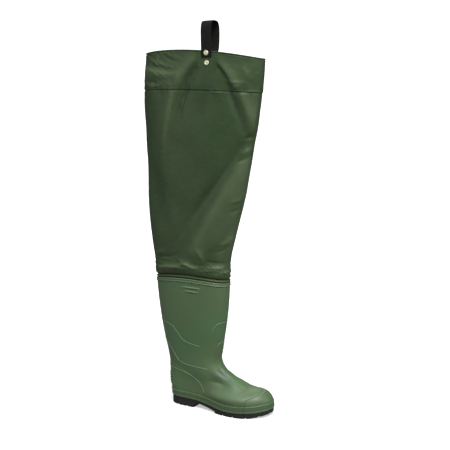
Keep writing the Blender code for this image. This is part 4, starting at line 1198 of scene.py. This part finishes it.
def makeOutsole():
    # The outline is cut into cells; cells under a lug reach the floor, the others stop higher up.
    work = bmesh.new()
    work.faces.new([work.verts.new((x, y, 0.0)) for x, y in zip(*soleOutline(fullTurn(sole["edgePoints"])))])
    lugs = sole["heelLugs"] + sole["toeLugs"]
    cuts = sorted([value for lug in lugs for value in lug] + list(np.arange(*sole["cells"])) + sole["slope"])
    planes = [((value, 0, 0), (1, 0, 0)) for value in cuts if sole["heelX"] + 1 < value < sole["toeX"] - 1]
    planes += [((0, value, 0), (0, 1, 0)) for value in (-sole["channel"], sole["channel"])]
    for spot, direction in planes:
        parts = work.verts[:] + work.edges[:] + work.faces[:]
        bmesh.ops.bisect_plane(work, geom=parts, dist=1e-5, plane_co=spot, plane_no=direction)
    work.verts.index_update()
    flat = np.array([v.co[:] for v in work.verts])
    faces = [tuple(v.index for v in f.verts) for f in work.faces]
    rim = [tuple(v.index for v in e.verts) for e in work.edges if e.is_boundary]
    work.free()
    # Three layers of the same points: underside between the lugs, upper edge, tread.
    count = len(flat)
    heights = (softTable(sole["under"], 0.8)(flat[:, 0])[:, 0], edgeAt(flat[:, 0])[:, 0],
               softTable(sole["tread"], 2.0)(flat[:, 0])[:, 0])
    points = np.concatenate([np.column_stack([flat[:, :2], h]) for h in heights])
    centres = np.array([flat[list(f)].mean(axis=0) for f in faces])
    heel, front = (np.any([(centres[:, 0] > low) & (centres[:, 0] < high) for low, high in sole[key]], axis=0)
                   for key in ("heelLugs", "toeLugs"))
    isLug = heel | (front & (np.abs(centres[:, 1]) > sole["channel"]))
    solid = [tuple(count + k for k in f) for f in faces]
    sides = {}
    for face, lug in zip(faces, isLug):
        solid.append(tuple(2 * count + k for k in face) if lug else face)
        for a, b in zip(face, face[1:] + face[:1]) if lug else ():
            sides.setdefault((min(a, b), max(a, b)), []).append((a, b))
    solid += [(a, b, 2 * count + b, 2 * count + a) for (a, b), used in sides.items() if len(used) == 1]
    solid += [(a, b, count + b, count + a) for a, b in rim]
    mesh = bpy.data.meshes.new("outsole")
    mesh.from_pydata([tuple(p) for p in points * mm], [], solid)
    work = bmesh.new()
    work.from_mesh(mesh)
    bmesh.ops.delete(work, geom=[v for v in work.verts if not v.link_faces], context="VERTS")
    bmesh.ops.recalc_face_normals(work, faces=work.faces[:])
    bmesh.ops.dissolve_limit(work, angle_limit=math.radians(0.5), verts=work.verts[:], edges=work.edges[:])
    work.to_mesh(mesh)
    work.free()
    piece = addPiece("outsoleTread", mesh, treadRubber, "outsole", slot="tread_rubber")
    bevel = piece.modifiers.new("softEdges", "BEVEL")
    bevel.width = sole["bevel"] * mm
    bevel.segments = 2
    bevel.limit_method = "ANGLE"
    bevel.angle_limit = math.radians(sole["bevelAngle"])
    return piece


def makeInsole():
    # Thin felted bed with a rounded edge: insets of the sole's outline, drawn in to a spine at both faces.
    rings = []
    for inset, lift, share in sole["insole"]:
        x, y = soleOutline(fullTurn(sole["insolePoints"]), sole["insoleInset"] + inset)
        middle = planAt(x)[..., 2]
        spine = np.clip(x, sole["heelX"] + 45, sole["toeX"] - 50)
        px, py = spine + (x - spine) * share, middle + (y - middle) * share
        rings.append(np.column_stack([px, py, edgeAt(px)[..., 0] + lift]))
    grid = np.stack(rings)
    rows, columns = grid.shape[:2]
    half = np.arange(1, columns // 2 - 1)
    low = np.stack([half, half + 1, columns - half - 1, columns - half], -1)
    end = (rows - 1) * columns
    tips = np.array([(0, 1, columns - 1), (columns // 2, columns // 2 + 1, columns // 2 - 1)])
    mesh = buildMesh("insoleBed", grid.reshape(-1, 3), gridQuads(rows, columns), low[:, ::-1], low + end,
                     np.concatenate([tips, tips + end]), turnOut=True)
    return addPiece("insoleBed", mesh, greyFelt, "insole", slot="insole_felt")


makeOutsole()
makeInsole()
print("sole ready")

# The floor in metres: flat radius, radius of the bend, height of its wall; its look and the light of the sky.
stage = {"flat": 4.2, "bend": 1.6, "wall": 5.0, "sides": 96, "colour": (0.80, 0.80, 0.79),
         "cloudColour": (0.84, 0.84, 0.83), "bounce": (0.20, 0.20, 0.20), "glowNear": 0.45, "glowFar": 1.0,
         "sky": 1.0, "ambient": 0.16}
camera = {"azimuth": 30.9, "elevation": 7.76, "roll": -0.74, "distance": 2.048, "target": (0.124, 0.0, 0.475),
          "focalPixels": 821.3, "pixels": 450, "sensor": 36.0}
# place, aim, size, power
lamps = {
    "keyLight": ((2.1, -2.1, 4.0), (0.05, 0.0, 0.45), 2.4, 224.0),
    "fillLight": ((-2.4, -3.0, 1.4), (0.05, 0.0, 0.5), 2.2, 20.0),
    "sideLight": ((3.6, 0.5, 2.0), (0.1, 0.0, 0.5), 2.0, 36.0),
    "topLight": ((0.4, 0.3, 4.4), (0.1, 0.0, 0.3), 2.2, 50.0),
    "backLight": ((-2.2, 2.6, 2.2), (0.1, 0.0, 0.5), 1.8, 50.0),
}


def addToScene(name, data):
    item = bpy.data.objects.new(name, data)
    bpy.context.scene.collection.objects.link(item)
    return item


def cameraShare(tree):
    # 1 for what the camera sees itself, 0 for what only lights other things.
    return node(tree, "ShaderNodeLightPath").outputs["Is Camera Ray"]


def makeStage():
    # Pale round floor that curves up into a wall: a profile turned about the upright axis.
    flat, bend, sides = stage["flat"], stage["bend"], stage["sides"]
    profile = [(0.02, 0.0), (1.0, 0.0), (2.5, 0.0), (flat, 0.0)]
    lean = np.linspace(0, np.pi / 2, 16)[1:]
    profile += [(flat + bend * math.sin(a), bend * (1 - math.cos(a))) for a in lean]
    profile = np.array(profile + [(flat + bend, stage["wall"])])
    far, high, turn = np.broadcast_arrays(profile[:, None, 0], profile[:, None, 1], fullTurn(sides))
    grid = np.stack([far * np.cos(turn), far * np.sin(turn), high], -1)
    mesh = buildMesh("paleFloor", grid.reshape(-1, 3) / mm, gridQuads(len(profile), sides, flip=True),
                     np.arange(sides)[None, :])
    material, tree, coords, _ = newMaterial("paleFloor")
    seen = cameraShare(tree)
    pale = mixColour(tree, noise(tree, coords["Object"], 3.0, 2.0), stage["colour"], stage["cloudColour"])
    # Near the boot the floor takes its shadow; further out it glows to an even white.
    away = node(tree, "ShaderNodeVectorMath", {"operation": "LENGTH"}, i0=coords["Object"]).outputs["Value"]
    glow = times(tree, mapRange(tree, away, 0.5, 2.2, stage["glowNear"], stage["glowFar"]), seen)
    finishMaterial(material, mixColour(tree, seen, stage["bounce"], pale), 0.9,
                   Emission_Color=(1.0, 1.0, 1.0, 1.0), Emission_Strength=glow)
    mesh.materials.append(material)
    addToScene("paleFloor", mesh)


def addLight(name, spot, aim, size, power):
    # A square white area light that faces its aim.
    data = bpy.data.lights.new(name, "AREA")
    data.shape = "RECTANGLE"
    data.size = data.size_y = size
    data.energy = power
    lamp = addToScene(name, data)
    lamp.location = spot
    lamp.rotation_euler = (Vector(aim) - Vector(spot)).to_track_quat("-Z", "Y").to_euler()


def makeCamera():
    # Looks at the target from its azimuth and elevation, rolled about its own axis.
    azimuth, elevation, roll = (math.radians(camera[k]) for k in ("azimuth", "elevation", "roll"))
    back = np.array([math.sin(azimuth) * math.cos(elevation), -math.cos(azimuth) * math.cos(elevation),
                     math.sin(elevation)])
    right = np.array([math.cos(azimuth), math.sin(azimuth), 0.0])
    up = np.cross(back, right)
    level = right * math.cos(roll) + up * math.sin(roll)
    above = up * math.cos(roll) - right * math.sin(roll)
    spot = np.array(camera["target"]) + back * camera["distance"]
    data = bpy.data.cameras.new("photoCamera")
    data.sensor_fit = "HORIZONTAL"
    data.sensor_width = camera["sensor"]
    data.lens = camera["focalPixels"] / camera["pixels"] * camera["sensor"]
    data.clip_end = 100.0
    item = addToScene("photoCamera", data)
    pose = np.vstack([np.column_stack([level, above, back, spot]), (0, 0, 0, 1)])
    item.matrix_world = Matrix(pose.tolist())
    bpy.context.scene.camera = item


def makeSky():
    # An even white sky that is bright to the camera and dim as a light.
    world = bpy.data.worlds.new("studioWorld")
    bpy.context.scene.world = world
    world.use_nodes = True
    tree = world.node_tree
    sky = tree.nodes["Background"].inputs
    feed(tree, sky[0], (1.0, 1.0, 1.0))
    feed(tree, sky[1], mapRange(tree, cameraShare(tree), 0.0, 1.0, stage["ambient"], stage["sky"]))


makeStage()
makeCamera()
for name, values in lamps.items():
    addLight(name, *values)
makeSky()
bpy.context.scene.view_settings.view_transform = "Standard"
print("stage ready")
